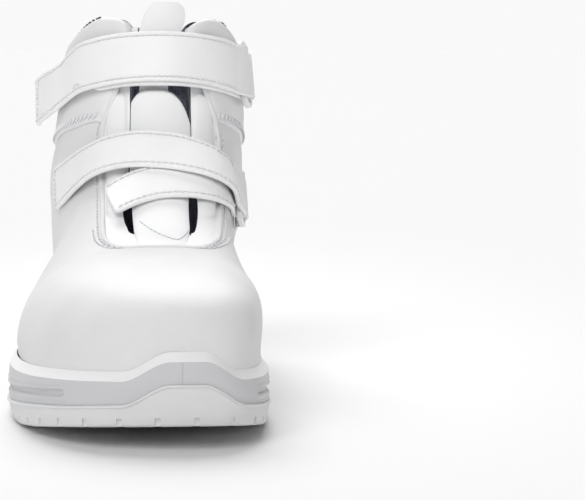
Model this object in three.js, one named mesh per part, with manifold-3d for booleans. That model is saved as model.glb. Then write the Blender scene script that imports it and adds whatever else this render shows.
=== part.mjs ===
// A right-foot safety boot with two hook-and-loop straps.
// Millimetres, +Z up, the toe towards -Y, the big-toe side towards +X, the origin under the heel's centre.

import * as THREE from "three";
import { mergeVertices } from "three/addons/utils/BufferGeometryUtils.js";
import Module from "manifold-3d";

const wasm = await Module();
wasm.setup();

// Overall sizes
const soleLength = 300; // heel end to toe end of the sole
const ballLateral = 59.5; // sole's edge from the heel's centre line at the little toe's joint
const ballMedial = 47; // and at the big toe's joint
const heelPad = 42; // from the sole's heel end to the origin
const bootHeight = 165; // floor to the collar's highest point
const rimWidth = 3.6; // sole's edge stands out past the upper by this
const clearance = 0.3; // between pieces that are sewn or bonded to each other

// Sole
const treadDepth = 3.6;
const grooveWidth = 3;
const lugPitch = 15; // along the sole's edge
const lugReach = 15; // how far an edge groove runs in
const beadSize = 1.1; // the raised line where the two layers of the sole meet
const beadStep = 0.8;
const edgeBevel = 2.4; // the tread's outer corner
const lipHeight = 3.8; // the rounded top of the sole's edge
const toeHump = 7.4; // the bumper's rise at the toe
const slotWidth = 2.6; // of the slot along the sole's side
const slotDepth = 1.3;
const slotRise = 5; // of its middle over the layers' joint
const slotFrom = 0.45; // its ends, in shares of the outline's way from heel to toe
const slotTo = 0.82;

// Upper
const wall = 2.2; // leather and lining
const seamStep = 0.9; // the collar panel lies over the quarter by this
const collarPuff = 1.4; // outward swell of the padded collar
const collarPad = 4.2; // inward swell
const insoleThickness = 4;
const facingRoll = 2; // height of the padded rolls beside the tongue
const webRecess = 0.7; // the throat's lining lies this far under the vamp's surface
const facingThickness = 2.4;
const slotGap = 1.2; // between tongue and rolls
const footGap = 1.6; // under the tongue's lower end
const tonguePad = 2.3; // tongue's crown above the upper's surface
const tongueThickness = 5.5;
const tongueHalf = 13.2;
const throatHalf = 24.8;
const throatTilt = 50; // degrees, the instep's slope
const throatMiddle = 4.5; // to the big-toe side of the heel's centre line
const rollWidth = 9.5;

// Straps, rings and tabs
const strapThickness = 2;
const ringBar = 2.6; // diameter
const ringPitch = 9.5; // between the centres of a ring's two long bars
const tabShare = 0.88; // of its strap's width
const tabLength = 15;
const tabThickness = 1.2;

// The sole's outline, heel to toe: shares of soleLength, ballLateral and ballMedial
const outlineRows = [
  { along: 0, lateral: 0, medial: 0 },
  { along: 0.005, lateral: 0.19, medial: 0.24 },
  { along: 0.0233, lateral: 0.37, medial: 0.466 },
  { along: 0.06, lateral: 0.53, medial: 0.665 },
  { along: 0.1167, lateral: 0.635, medial: 0.79 },
  { along: 0.2, lateral: 0.673, medial: 0.83 },
  { along: 0.283, lateral: 0.706, medial: 0.817 },
  { along: 0.367, lateral: 0.775, medial: 0.796 },
  { along: 0.467, lateral: 0.881, medial: 0.815 },
  { along: 0.567, lateral: 0.971, medial: 0.885 },
  { along: 0.65, lateral: 1, medial: 0.957 },
  { along: 0.733, lateral: 0.971, medial: 1 },
  { along: 0.817, lateral: 0.882, medial: 0.983 },
  { along: 0.883, lateral: 0.765, medial: 0.936 },
  { along: 0.94, lateral: 0.588, medial: 0.851 },
  { along: 0.973, lateral: 0.403, medial: 0.723 },
  { along: 0.9917, lateral: 0.151, medial: 0.543 },
  { along: 1, lateral: -0.168, medial: 0.213 },
];

// Heights along the sole, heel to toe: shares of soleLength and bootHeight.
// tread is the underside, bead the layers' joint, rim the edge's top and seat where the upper stands.
const heightRows = [
  { along: 0, tread: 0.022, bead: 0.067, rim: 0.237, seat: 0.18 },
  { along: 0.045, tread: 0, bead: 0.064, rim: 0.233, seat: 0.176 },
  { along: 0.2, tread: 0, bead: 0.061, rim: 0.222, seat: 0.17 },
  { along: 0.27, tread: 0, bead: 0.062, rim: 0.214, seat: 0.165 },
  { along: 0.3, tread: 0.026, bead: 0.064, rim: 0.208, seat: 0.16 },
  { along: 0.37, tread: 0.028, bead: 0.062, rim: 0.192, seat: 0.14 },
  { along: 0.42, tread: 0, bead: 0.054, rim: 0.18, seat: 0.125 },
  { along: 0.53, tread: 0, bead: 0.044, rim: 0.163, seat: 0.098 },
  { along: 0.65, tread: 0, bead: 0.044, rim: 0.157, seat: 0.088 },
  { along: 0.72, tread: 0, bead: 0.051, rim: 0.158, seat: 0.088 },
  { along: 0.78, tread: 0.006, bead: 0.062, rim: 0.16, seat: 0.092 },
  { along: 0.86, tread: 0.023, bead: 0.079, rim: 0.168, seat: 0.102 },
  { along: 0.94, tread: 0.045, bead: 0.096, rim: 0.178, seat: 0.118 },
  { along: 1, tread: 0.06, bead: 0.113, rim: 0.186, seat: 0.13 },
];

// The grooves across the tread's middle: half lengths in shares of ballLateral, turned by degrees
const treadBars = [
  { along: 0.09, half: 0.28, turn: 0 },
  { along: 0.16, half: 0.32, turn: 0 },
  { along: 0.23, half: 0.32, turn: 0 },
  { along: 0.46, half: 0.4, turn: -8 },
  { along: 0.54, half: 0.46, turn: -8 },
  { along: 0.62, half: 0.5, turn: -8 },
  { along: 0.7, half: 0.5, turn: -8 },
  { along: 0.8, half: 0.42, turn: -8 },
  { along: 0.9, half: 0.3, turn: -8 },
];

// Sections of the upper from the toe's tip back and up to the top of the shaft. Each lies in a plane
// through a point of the instep's profile (top) and one of the sole's or heel's (base).
// Alongs are shares of the upper's length and heights shares of bootHeight. wide is where on the way
// from base to top the section is widest, lateral and medial how wide, in shares of the sole's edge
// under that place, ridge the instep's line in shares of ballMedial. low, outside and inside say how
// square the section is under its widest place and above it on the lateral and the medial side.
const sections = [
  { topAlong: 1, topUp: 0.25, baseAlong: 1, baseUp: 0.05, wide: 0.45, lateral: 1, medial: 1, ridge: 0.26, low: 4, outside: 2.3, inside: 2.6 },
  { topAlong: 0.992, topUp: 0.309, baseAlong: 0.992, baseUp: 0.05, wide: 0.42, lateral: 1, medial: 1, ridge: 0.25, low: 4, outside: 2.5, inside: 2.9 },
  { topAlong: 0.972, topUp: 0.345, baseAlong: 0.972, baseUp: 0.05, wide: 0.41, lateral: 1, medial: 1, ridge: 0.22, low: 4, outside: 2.8, inside: 3.1 },
  { topAlong: 0.937, topUp: 0.37, baseAlong: 0.937, baseUp: 0.05, wide: 0.4, lateral: 1, medial: 1, ridge: 0.19, low: 4, outside: 3.1, inside: 3.2 },
  { topAlong: 0.88, topUp: 0.391, baseAlong: 0.88, baseUp: 0.05, wide: 0.39, lateral: 1, medial: 1, ridge: 0.16, low: 4, outside: 3.2, inside: 2.7 },
  { topAlong: 0.805, topUp: 0.402, baseAlong: 0.805, baseUp: 0.05, wide: 0.38, lateral: 1, medial: 1, ridge: 0.14, low: 4, outside: 3.3, inside: 2.55 },
  { topAlong: 0.722, topUp: 0.405, baseAlong: 0.722, baseUp: 0.05, wide: 0.38, lateral: 1, medial: 1, ridge: 0.12, low: 4, outside: 3.2, inside: 2.5 },
  { topAlong: 0.647, topUp: 0.418, baseAlong: 0.644, baseUp: 0.05, wide: 0.38, lateral: 1, medial: 1, ridge: 0.1, low: 4, outside: 2.9, inside: 2.5 },
  { topAlong: 0.572, topUp: 0.485, baseAlong: 0.53, baseUp: 0.05, wide: 0.38, lateral: 0.98, medial: 0.98, ridge: 0.1, low: 3.2, outside: 2.6, inside: 2.5 },
  { topAlong: 0.5, topUp: 0.588, baseAlong: 0.3, baseUp: 0.05, wide: 0.42, lateral: 1.03, medial: 1.05, ridge: 0.1, low: 2.2, outside: 2.3, inside: 2.6 },
  { topAlong: 0.463, topUp: 0.668, baseAlong: 0.06, baseUp: 0.075, wide: 0.46, lateral: 1.2, medial: 1.12, ridge: 0.1, low: 1.6, outside: 2.3, inside: 2.4 },
  { topAlong: 0.435, topUp: 0.745, baseAlong: -0.005, baseUp: 0.3, wide: 0.48, lateral: 1.27, medial: 1.19, ridge: 0.1, low: 2.3, outside: 2.3, inside: 2.3 },
  { topAlong: 0.417, topUp: 0.812, baseAlong: 0, baseUp: 0.48, wide: 0.48, lateral: 1.16, medial: 1.2, ridge: 0.1, low: 2.3, outside: 2.3, inside: 2.3 },
  { topAlong: 0.405, topUp: 0.879, baseAlong: 0.012, baseUp: 0.62, wide: 0.48, lateral: 1.06, medial: 1.17, ridge: 0.1, low: 2.3, outside: 2.3, inside: 2.3 },
  { topAlong: 0.397, topUp: 0.945, baseAlong: 0.018, baseUp: 0.75, wide: 0.48, lateral: 0.99, medial: 1.12, ridge: 0.1, low: 2.3, outside: 2.3, inside: 2.3 },
  { topAlong: 0.392, topUp: 1.006, baseAlong: 0.014, baseUp: 0.88, wide: 0.48, lateral: 0.94, medial: 1.07, ridge: 0.1, low: 2.3, outside: 2.3, inside: 2.3 },
  { topAlong: 0.388, topUp: 1.08, baseAlong: 0.006, baseUp: 1.01, wide: 0.48, lateral: 0.92, medial: 1.04, ridge: 0.1, low: 2.3, outside: 2.3, inside: 2.3 },
];

// The padded collar's seam and top line seen from the side: shares of soleLength and bootHeight
const collarRows = [
  { along: -0.05, seam: 0.69, top: 0.89 },
  { along: 0.03, seam: 0.66, top: 0.883 },
  { along: 0.1, seam: 0.633, top: 0.876 },
  { along: 0.17, seam: 0.623, top: 0.882 },
  { along: 0.24, seam: 0.64, top: 0.91 },
  { along: 0.3, seam: 0.668, top: 0.952 },
  { along: 0.335, seam: 0.682, top: 0.982 },
  { along: 0.365, seam: 0.695, top: 1 },
  { along: 0.385, seam: 0.706, top: 0.99 },
  { along: 0.398, seam: 0.712, top: 0.955 },
  { along: 0.44, seam: 0.727, top: 0.86 },
  { along: 0.5, seam: 0.97, top: 0.8 },
];

// The throat's edge, in the plane of the instep: across from its middle, lateral and medial, in shares
// of throatHalf, and up the instep in shares of bootHeight
const throatRows = [
  { up: -0.442, lateral: 0.52, medial: 0.48 },
  { up: -0.43, lateral: 0.72, medial: 0.66 },
  { up: -0.4, lateral: 0.88, medial: 0.84 },
  { up: -0.35, lateral: 0.96, medial: 0.95 },
  { up: -0.2, lateral: 0.98, medial: 1 },
  { up: 0.03, lateral: 1, medial: 1.02 },
  { up: 0.12, lateral: 0.77, medial: 0.83 },
  { up: 0.2, lateral: 0.6, medial: 0.6 },
  { up: 0.28, lateral: 0.48, medial: 0.46 },
  { up: 0.3, lateral: 0.57, medial: 0.58 },
  { up: 0.32, lateral: 0.74, medial: 0.76 },
  { up: 0.35, lateral: 1.08, medial: 1.08 },
  { up: 0.42, lateral: 1.1, medial: 1.1 },
];

// The tongue, by the height of the instep under it: half its width, its lean to the
// big-toe side and the slot beside it in shares of tongueHalf, and its swell in shares of tonguePad
const tongueRows = [
  { up: 0.433, half: 0.45, pad: 0.1, lean: 0, slot: 0.1 },
  { up: 0.445, half: 0.76, pad: 0.4, lean: 0, slot: 0.06 },
  { up: 0.46, half: 0.88, pad: 0.75, lean: 0, slot: 0.05 },
  { up: 0.475, half: 0.95, pad: 0.95, lean: 0, slot: 0.08 },
  { up: 0.487, half: 0.98, pad: 1, lean: 0, slot: 0.3 },
  { up: 0.52, half: 1, pad: 1, lean: 0, slot: 0.36 },
  { up: 0.56, half: 1, pad: 1, lean: 0, slot: 0.2 },
  { up: 0.62, half: 1, pad: 1, lean: 0, slot: 0.09 },
  { up: 0.7, half: 1, pad: 1, lean: 0.02, slot: 0.09 },
  { up: 0.76, half: 0.99, pad: 0.9, lean: 0.03, slot: 0.09 },
  { up: 0.8, half: 0.97, pad: 0.45, lean: 0.03, slot: 0.08 },
  { up: 0.87, half: 0.9, pad: 0.3, lean: 0.03, slot: 0.08 },
  { up: 0.95, half: 0.72, pad: 0.3, lean: 0.04, slot: 0.08 },
  { up: 0.99, half: 0.72, pad: 0.3, lean: 0.16, slot: 0.08 },
  { up: 1.02, half: 0.62, pad: 0.2, lean: 0.24, slot: 0.08 },
  { up: 1.035, half: 0.42, pad: 0.1, lean: 0.26, slot: 0.08 },
];

// The straps' widths and middle lines from the little-toe side round to the ring. around is in degrees, at a
// section number, lift how far the strap's underside stands off the upper. The top layer's rows run on
// past the upper's side, where its free end stands off.
const topStrap = {
  width: 24,
  under: [
    { around: -36, at: 12.97, lift: 3.1 },
    { around: -20, at: 12.94, lift: 3.1 },
    { around: 0, at: 12.9, lift: 3.1 },
    { around: 24, at: 12.93, lift: 3.1 },
    { around: 46, at: 13.06, lift: 3.1 },
  ],
  over: [
    { around: -95, at: 13.0, lift: 13 },
    { around: -87, at: 12.97, lift: 9.8 },
    { around: -77, at: 12.95, lift: 6.8 },
    { around: -66, at: 12.95, lift: 4.6 },
    { around: -56, at: 13.02, lift: 4.2 },
    { around: -43, at: 13.04, lift: 5.4 },
    { around: -30, at: 13.02, lift: 5.5 },
    { around: 0, at: 13.02, lift: 5.4 },
    { around: 24, at: 13.01, lift: 5.5 },
    { around: 46, at: 13.07, lift: 5.8 },
  ],
  overEnd: { slant: 0, twist: 2.5 },
  ring: { around: 58, at: 13.14 },
};
const lowStrap = {
  width: 20.5,
  under: [
    { around: -27, at: 8.24, lift: 2.7 },
    { around: -16, at: 8.44, lift: 2.8 },
    { around: 0, at: 8.62, lift: 2.8 },
    { around: 15, at: 8.68, lift: 2.8 },
    { around: 28, at: 8.82, lift: 2.2 },
    { around: 38, at: 9.05, lift: 1.2 },
    { around: 47, at: 9.36, lift: 0.5 },
  ],
  underEnd: { slant: 0.8, twist: 0 },
  over: [
    { around: -68, at: 10.3, lift: 0.6 },
    { around: -61, at: 10.18, lift: 0.6 },
    { around: -54, at: 10.07, lift: 0.9 },
    { around: -43, at: 9.9, lift: 2.2 },
    { around: -30, at: 9.7, lift: 4.2 },
    { around: -15, at: 9.52, lift: 5.1 },
    { around: 0, at: 9.38, lift: 5.1 },
    { around: 13, at: 9.23, lift: 5.1 },
    { around: 26, at: 9.2, lift: 4.8 },
    { around: 37, at: 9.33, lift: 3.9 },
    { around: 47, at: 9.46, lift: 3.4 },
  ],
  ring: { around: 57.5, at: 9.56 },
};

const origin = new THREE.Vector3(0, heelPad, 0);

// A place given as distance to the side, distance forward of the sole's heel end, and height
function place(x, along, z) {
  return new THREE.Vector3(x, origin.y - along, z);
}

// A smooth function of one column of a table over another
function curveOf(rows, key, scale, overKey = "along", overScale = soleLength) {
  const over = rows.map((row) => row[overKey] * overScale);
  const values = rows.map((row) => row[key] * scale);
  const curve = new THREE.CubicInterpolant(over, values, 1, new Float32Array(1));
  return (at) => curve.evaluate(THREE.MathUtils.clamp(at, over[0], over.at(-1)))[0];
}

// The same with straight runs between the rows
function linesOf(rows, key, scale) {
  const over = rows.map((row) => row.along * soleLength);
  const values = rows.map((row) => row[key] * scale);
  const lines = new THREE.LinearInterpolant(over, values, 1, new Float32Array(1));
  return (at) => lines.evaluate(THREE.MathUtils.clamp(at, over[0], over.at(-1)))[0];
}

// A table's column as a smooth function of the row's number
function track(rows, key, scale) {
  const count = rows.length;
  const numbers = rows.map((row, i) => i);
  const values = rows.map((row) => row[key] * scale);
  const curve = new THREE.CubicInterpolant(numbers, values, 1, new Float32Array(1));
  return (at) => curve.evaluate(THREE.MathUtils.clamp(at, 0, count - 1))[0];
}

const treadHeight = linesOf(heightRows, "tread", bootHeight);
const beadHeight = curveOf(heightRows, "bead", bootHeight);
const rimHeight = curveOf(heightRows, "rim", bootHeight);
const seatHeight = curveOf(heightRows, "seat", bootHeight);

// The outline as one closed curve: up the lateral side and back down the medial one
const lateralPoints = outlineRows.map(
  (row) => new THREE.Vector3(-row.lateral * ballLateral, row.along * soleLength, 0),
);
const medialPoints = outlineRows
  .slice(1, -1)
  .reverse()
  .map((row) => new THREE.Vector3(row.medial * ballMedial, row.along * soleLength, 0));
const outline = new THREE.CatmullRomCurve3([...lateralPoints, ...medialPoints], true, "centripetal");
const outlineSpans = outlineRows.length - 1;
const toeApex = -outlineRows.at(-1).lateral * ballLateral;

// The outline's point at a share of the way from heel (0) to toe (1) on one side, moved in by inset.
// Its y is the distance forward.
function edgePoint(share, side, inset) {
  const t = side < 0 ? share / 2 : (1 - share / 2) % 1;
  const point = outline.getPoint(t);
  const tangent = outline.getTangent(t);
  return new THREE.Vector3(point.x + tangent.y * inset, point.y - tangent.x * inset, 0);
}

// The outline moved in by inset, as a half width at any distance forward, one array for each side
const plans = new Map();
function planOf(inset) {
  const key = inset.toFixed(4);
  if (!plans.has(key)) {
    const steps = outlineSpans * 12;
    const sides = [-1, 1].map((side) =>
      Array.from({ length: steps + 1 }, (_, i) => edgePoint(i / steps, side, inset)),
    );
    plans.set(key, sides);
  }
  return plans.get(key);
}

function edgeAt(along, side, inset) {
  const points = planOf(inset)[side < 0 ? 0 : 1];
  const next = points.findIndex((point) => point.y >= along);
  if (next <= 0) return next === 0 ? points[0].x : points.at(-1).x;
  const [a, b] = [points[next - 1], points[next]];
  return THREE.MathUtils.lerp(a.x, b.x, (along - a.y) / (b.y - a.y));
}

// The bumper's rise over the toe, by the distance to the side
function humpAt(x, along) {
  const up = THREE.MathUtils.smoothstep(x, toeApex - 23, toeApex - 4);
  const down = 1 - THREE.MathUtils.smoothstep(x, toeApex + 9, toeApex + 25);
  const front = THREE.MathUtils.smoothstep(along, soleLength * 0.88, soleLength * 0.96);
  return toeHump * up * down * front;
}

// A closed solid from rings of equally many points; caps close the ends where they are asked for
function loft(rings, capStart = false, capEnd = false) {
  const count = rings[0].length;
  const points = rings.flat();
  const faces = [];
  for (let i = 0; i + 1 < rings.length; i++) {
    for (let j = 0; j < count; j++) {
      const [a, b] = [i * count + j, i * count + ((j + 1) % count)];
      faces.push([a, b, a + count], [b, b + count, a + count]);
    }
  }
  const cap = (ring, turn) => {
    const centre = new THREE.Vector3();
    rings[ring].forEach((point) => centre.addScaledVector(point, 1 / count));
    points.push(centre);
    for (let j = 0; j < count; j++) {
      const [a, b] = [ring * count + j, ring * count + ((j + 1) % count)];
      faces.push(turn ? [b, a, points.length - 1] : [a, b, points.length - 1]);
    }
  };
  if (capStart) cap(0, true);
  if (capEnd) cap(rings.length - 1, false);
  return solidOf(points, faces);
}

function solidOf(points, faces) {
  const geometry = new THREE.BufferGeometry().setFromPoints(points);
  geometry.setIndex(faces.flat());
  return solidFrom(geometry);
}

// A mesh as a solid whose faces point outwards
function solidFrom(geometry) {
  const bare = geometry.clone();
  bare.deleteAttribute("normal");
  bare.deleteAttribute("uv");
  const merged = mergeVertices(bare, 1e-3);
  const index = merged.index.array;
  const kept = [];
  for (let i = 0; i < index.length; i += 3) {
    const [a, b, c] = [index[i], index[i + 1], index[i + 2]];
    if (a !== b && b !== c && a !== c) kept.push(a, b, c);
  }
  const make = (triVerts) =>
    new wasm.Manifold(
      new wasm.Mesh({
        numProp: 3,
        vertProperties: merged.attributes.position.array,
        triVerts: new Uint32Array(triVerts),
      }),
    );
  const made = make(kept);
  return made.volume() > 0 ? made : make(kept.slice().reverse());
}

function geometryOf(solid) {
  const mesh = solid.getMesh();
  const geometry = new THREE.BufferGeometry();
  geometry.setAttribute("position", new THREE.BufferAttribute(mesh.vertProperties, mesh.numProp));
  geometry.setIndex(new THREE.BufferAttribute(mesh.triVerts, 1));
  geometry.computeVertexNormals();
  return geometry;
}

// A wide block whose side view is a polygon of [along, z] corners
const blockHalf = 120;
function sideBlock(corners) {
  const shape = new THREE.Shape(corners.map(([along, z]) => new THREE.Vector2(along, z)));
  const geometry = new THREE.ExtrudeGeometry(shape, { depth: 2 * blockHalf, bevelEnabled: false });
  const turn = new THREE.Matrix4().makeBasis(
    new THREE.Vector3(0, -1, 0),
    new THREE.Vector3(0, 0, 1),
    new THREE.Vector3(-1, 0, 0),
  );
  geometry.applyMatrix4(turn).translate(blockHalf, origin.y, 0);
  return solidFrom(geometry);
}

// The block under or over a curve that runs the boot's length
function blockAt(height, shift, limit, steps = 30) {
  const [from, to] = [-30, soleLength + 30];
  const top = Array.from({ length: steps + 1 }, (_, i) => {
    const along = THREE.MathUtils.lerp(from, to, i / steps);
    return [along, height(along) + shift];
  });
  return sideBlock([...top, [to, limit], [from, limit]]);
}

// A sole layer: levels gives the [inset, z] pairs of its side, bottom to top, at an edge point
const soleStations = outlineSpans * 2;
function soleLayer(levels) {
  const rings = Array.from({ length: soleStations + 1 }, (_, i) => {
    const share = i / soleStations;
    const sides = [-1, 1].map((side) => {
      const edge = edgePoint(share, side, 0);
      return levels(edge).map(([inset, z]) => {
        const point = edgePoint(share, side, inset);
        return place(point.x, point.y, z);
      });
    });
    return [...sides[0], ...sides[1].reverse()];
  });
  return loft(rings);
}

function outsoleSolid() {
  const body = soleLayer((edge) => {
    const tread = treadHeight(edge.y);
    const bead = beadHeight(edge.y) + humpAt(edge.x, edge.y);
    const middle = tread + (bead - tread) * 0.45;
    return [
      [edgeBevel, tread],
      [0.7, middle],
      [0.1, bead - beadSize - 0.1],
      [-beadStep, bead - beadSize],
      [-beadStep, bead],
    ];
  });
  return body.subtract(treadGrooves());
}

// Grooves around the tread's edge, bars across the forefoot and heel, and a channel between them
function treadGrooves() {
  const cuts = [];
  const cut = (x, along, length, width, turn) => {
    const z = treadHeight(along) + treadDepth;
    const box = new THREE.BoxGeometry(length, width, 20);
    box.translate(0, 0, z - 10);
    box.rotateZ(turn);
    const at = place(x, along, 0);
    box.translate(at.x, at.y, 0);
    cuts.push(solidFrom(box));
  };
  const edgeLength = outline.getLength();
  const lugs = Math.round(edgeLength / lugPitch);
  for (let i = 0; i < lugs; i++) {
    const t = (i + 0.5) / lugs;
    const point = outline.getPointAt(t);
    const tangent = outline.getTangentAt(t);
    if (treadHeight(point.y) > 0.02 * bootHeight && point.y < soleLength * 0.5) continue;
    const inward = new THREE.Vector2(tangent.y, -tangent.x);
    const reach = lugReach / 2 - 3;
    cut(
      point.x + inward.x * reach,
      point.y + inward.y * reach,
      lugReach + 2,
      grooveWidth,
      Math.atan2(-inward.y, inward.x),
    );
  }
  for (const { along, half, turn } of treadBars) {
    const at = along * soleLength;
    const middle = (edgeAt(at, -1, 0) + edgeAt(at, 1, 0)) / 2;
    cut(middle, at, 2 * half * ballLateral, grooveWidth, THREE.MathUtils.degToRad(turn));
  }
  return cuts.reduce((all, one) => all.add(one));
}

function midsoleSolid(cavity) {
  const body = soleLayer((edge) => {
    const hump = humpAt(edge.x, edge.y);
    const bead = beadHeight(edge.y) + hump + clearance;
    const rim = rimHeight(edge.y) + hump;
    return [
      [0.5, bead],
      [0.1, bead + (rim - bead) * 0.35],
      [0.9, rim - lipHeight],
      [1.5, rim - lipHeight * 0.45],
      [2.9, rim],
    ];
  });
  return body.subtract(cavity).subtract(sideSlot(-1)).subtract(sideSlot(1));
}

// The slot along one side of the midsole
function sideSlot(side) {
  const steps = 14;
  const rings = Array.from({ length: steps + 1 }, (_, i) => {
    const share = THREE.MathUtils.lerp(slotFrom, slotTo, i / steps);
    const middle = edgePoint(share, side, 0);
    const half = (slotWidth / 2) * (i === 0 || i === steps ? 0.4 : 1);
    const z = beadHeight(middle.y) + slotRise;
    const [out, deep] = [edgePoint(share, side, -2), edgePoint(share, side, slotDepth)];
    return [
      place(out.x, out.y, z + half),
      place(deep.x, deep.y, z + half),
      place(deep.x, deep.y, z - half),
      place(out.x, out.y, z - half),
    ];
  });
  return loft(rings, true, true);
}

// The upper's shape: a point at a place along the sections (0 at the toe's tip) and around them
// (degrees, 0 on the instep's ridge, negative on the lateral side, 180 at the base), grown by grow
const upperLength = soleLength - 2 * rimWidth;
const form = {
  topAlong: track(sections, "topAlong", upperLength),
  topUp: track(sections, "topUp", bootHeight),
  baseAlong: track(sections, "baseAlong", upperLength),
  baseUp: track(sections, "baseUp", bootHeight),
  wide: track(sections, "wide", 1),
  lateral: track(sections, "lateral", 1),
  medial: track(sections, "medial", 1),
  ridge: track(sections, "ridge", ballMedial),
  low: track(sections, "low", 1),
  outside: track(sections, "outside", 1),
  inside: track(sections, "inside", 1),
};
const lastSection = sections.length - 1;
const heelSection = 10; // from here on a section's base lies on the heel's back

// The outward direction of the instep's or the heel's profile at a section
function profileNormal(along, up, at, side) {
  const step = 0.05;
  const [a, b] = [Math.max(at - step, 0), Math.min(at + step, lastSection)];
  const tangent = new THREE.Vector2(along(b) - along(a), up(b) - up(a)).normalize();
  return new THREE.Vector2(tangent.y * side, -tangent.x * side);
}

function sectionAt(at, grow) {
  const inset = rimWidth - grow;
  const topNormal = profileNormal(form.topAlong, form.topUp, at, 1);
  const top = new THREE.Vector2(rimWidth + form.topAlong(at), form.topUp(at));
  const base = new THREE.Vector2(rimWidth + form.baseAlong(at), form.baseUp(at));
  if (at === 0) topNormal.set(1, 0);
  top.addScaledVector(topNormal, grow);
  if (at < 7) base.x = top.x;
  const onHeel = THREE.MathUtils.smoothstep(at, heelSection - 1, heelSection);
  base.addScaledVector(profileNormal(form.baseAlong, form.baseUp, at, -1), grow * onHeel);
  const wide = form.wide(at);
  const widest = THREE.MathUtils.lerp(base.x, top.x, wide);
  const lateral = at === 0 ? toeApex : edgeAt(widest, -1, inset) * form.lateral(at);
  const medial = at === 0 ? toeApex : edgeAt(widest, 1, inset) * form.medial(at);
  return {
    top,
    base,
    wide,
    middle: (lateral + medial) / 2,
    half: (medial - lateral) / 2,
    ridge: form.ridge(at),
    low: form.low(at),
    outside: form.outside(at),
    inside: form.inside(at),
  };
}

function pointOn(section, around) {
  const angle = THREE.MathUtils.degToRad(Math.abs(around));
  const side = Math.sign(around);
  const upper = Math.abs(around) <= 90;
  const power = 2 / (upper ? (side < 0 ? section.outside : section.inside) : section.low);
  const out = Math.max(Math.sin(angle), 0) ** power;
  const rise = Math.abs(Math.cos(angle)) ** power;
  const level = upper ? section.wide + (1 - section.wide) * rise : section.wide * (1 - rise);
  const end = upper ? section.ridge : 0;
  const x = section.middle + (end - section.middle) * rise ** 1.5 + side * section.half * out;
  const at = new THREE.Vector2().lerpVectors(section.base, section.top, level);
  return place(x, at.x, at.y);
}

function surface(at, around, grow = 0) {
  return pointOn(sectionAt(at, grow), around);
}

// Section numbers at which the upper is sampled, closer together at the toe's tip
const sectionSteps = 2;
const aroundSteps = 36;
const innerSteps = 1;

function upperForm(pointAt, steps = sectionSteps) {
  const count = lastSection * steps;
  const rings = Array.from({ length: count + 1 }, (_, i) =>
    Array.from({ length: aroundSteps }, (_, j) => {
      const around = -180 + (360 * (j + 0.5)) / aroundSteps;
      return pointAt(i / steps, around);
    }),
  );
  return loft(rings, true, true);
}

const plainForm = (grow, steps) => upperForm((at, around) => surface(at, around, grow), steps);

const collarSeam = curveOf(collarRows, "seam", bootHeight);
const collarTop = curveOf(collarRows, "top", bootHeight);

// How far up the padded collar a place lies, 0 at its seam and 1 at its top
function collarShare(point) {
  const along = origin.y - point.y;
  const [seam, top] = [collarSeam(along), collarTop(along)];
  return (point.z - seam) / Math.max(top - seam, 1);
}

// The directions up along the instep's slope and square out of it
const tiltSin = Math.sin(THREE.MathUtils.degToRad(throatTilt));
const tiltCos = Math.cos(THREE.MathUtils.degToRad(throatTilt));
const instepDepth = 178; // how far out the instep lies
const throatReach = 13; // the throat's cut starts this far inside of it

// A prism through the instep's wall: corners are [across from the throat's middle, up the instep]
function throatPrism(corners) {
  const shape = new THREE.Shape(corners.map(([across, up]) => new THREE.Vector2(across, up)));
  const geometry = new THREE.ExtrudeGeometry(shape, { depth: 90, bevelEnabled: false });
  const up = new THREE.Vector3(0, tiltCos, tiltSin);
  const out = new THREE.Vector3(0, -tiltSin, tiltCos);
  const across = new THREE.Vector3(1, 0, 0);
  geometry.applyMatrix4(new THREE.Matrix4().makeBasis(across, up, out));
  const start = out.clone().multiplyScalar(instepDepth - throatReach);
  geometry.translate(throatMiddle, origin.y, 0).translate(0, start.y, start.z);
  return solidFrom(geometry);
}

const throatSide = {
  lateral: track(throatRows, "lateral", throatHalf),
  medial: track(throatRows, "medial", throatHalf),
  up: track(throatRows, "up", bootHeight),
};

function throatCorners(inset) {
  const steps = (throatRows.length - 1) * 2;
  const numbers = Array.from({ length: steps + 1 }, (_, i) => i / 2);
  const shrink = (at) => Math.max(throatSide.up(at), throatSide.up(0) + inset);
  return [
    ...numbers.map((at) => [-throatSide.lateral(at) + inset, shrink(at)]),
    ...numbers.reverse().map((at) => [throatSide.medial(at) - inset, shrink(at)]),
  ];
}

// The place around a section at which the surface has a given x, near the instep
function aroundAt(at, x) {
  let [low, high] = [-90, 90];
  for (let i = 0; i < 30; i++) {
    const middle = (low + high) / 2;
    if (surface(at, middle).x < x) low = middle;
    else high = middle;
  }
  return (low + high) / 2;
}

// The section whose instep reaches a given height
function sectionOfHeight(up) {
  let [low, high] = [6.5, lastSection];
  for (let i = 0; i < 30; i++) {
    const middle = (low + high) / 2;
    if (form.topUp(middle) < up) low = middle;
    else high = middle;
  }
  return (low + high) / 2;
}

// A point at a distance off the upper's surface, with the directions there: out of the surface,
// towards higher sections and around towards the big-toe side
const frameStep = 0.1;
const frameTurn = 2;

function frameOn(at, around) {
  const point = surface(at, around);
  const upward = surface(at + frameStep / 2, around).sub(surface(at - frameStep / 2, around));
  const onward = surface(at, around + frameTurn / 2).sub(surface(at, around - frameTurn / 2));
  const out = onward.clone().cross(upward).normalize();
  return { point, out, upward, onward };
}

function offSurface(at, around, lift) {
  const { point, out } = frameOn(at, around);
  return point.addScaledVector(out, lift);
}

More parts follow.
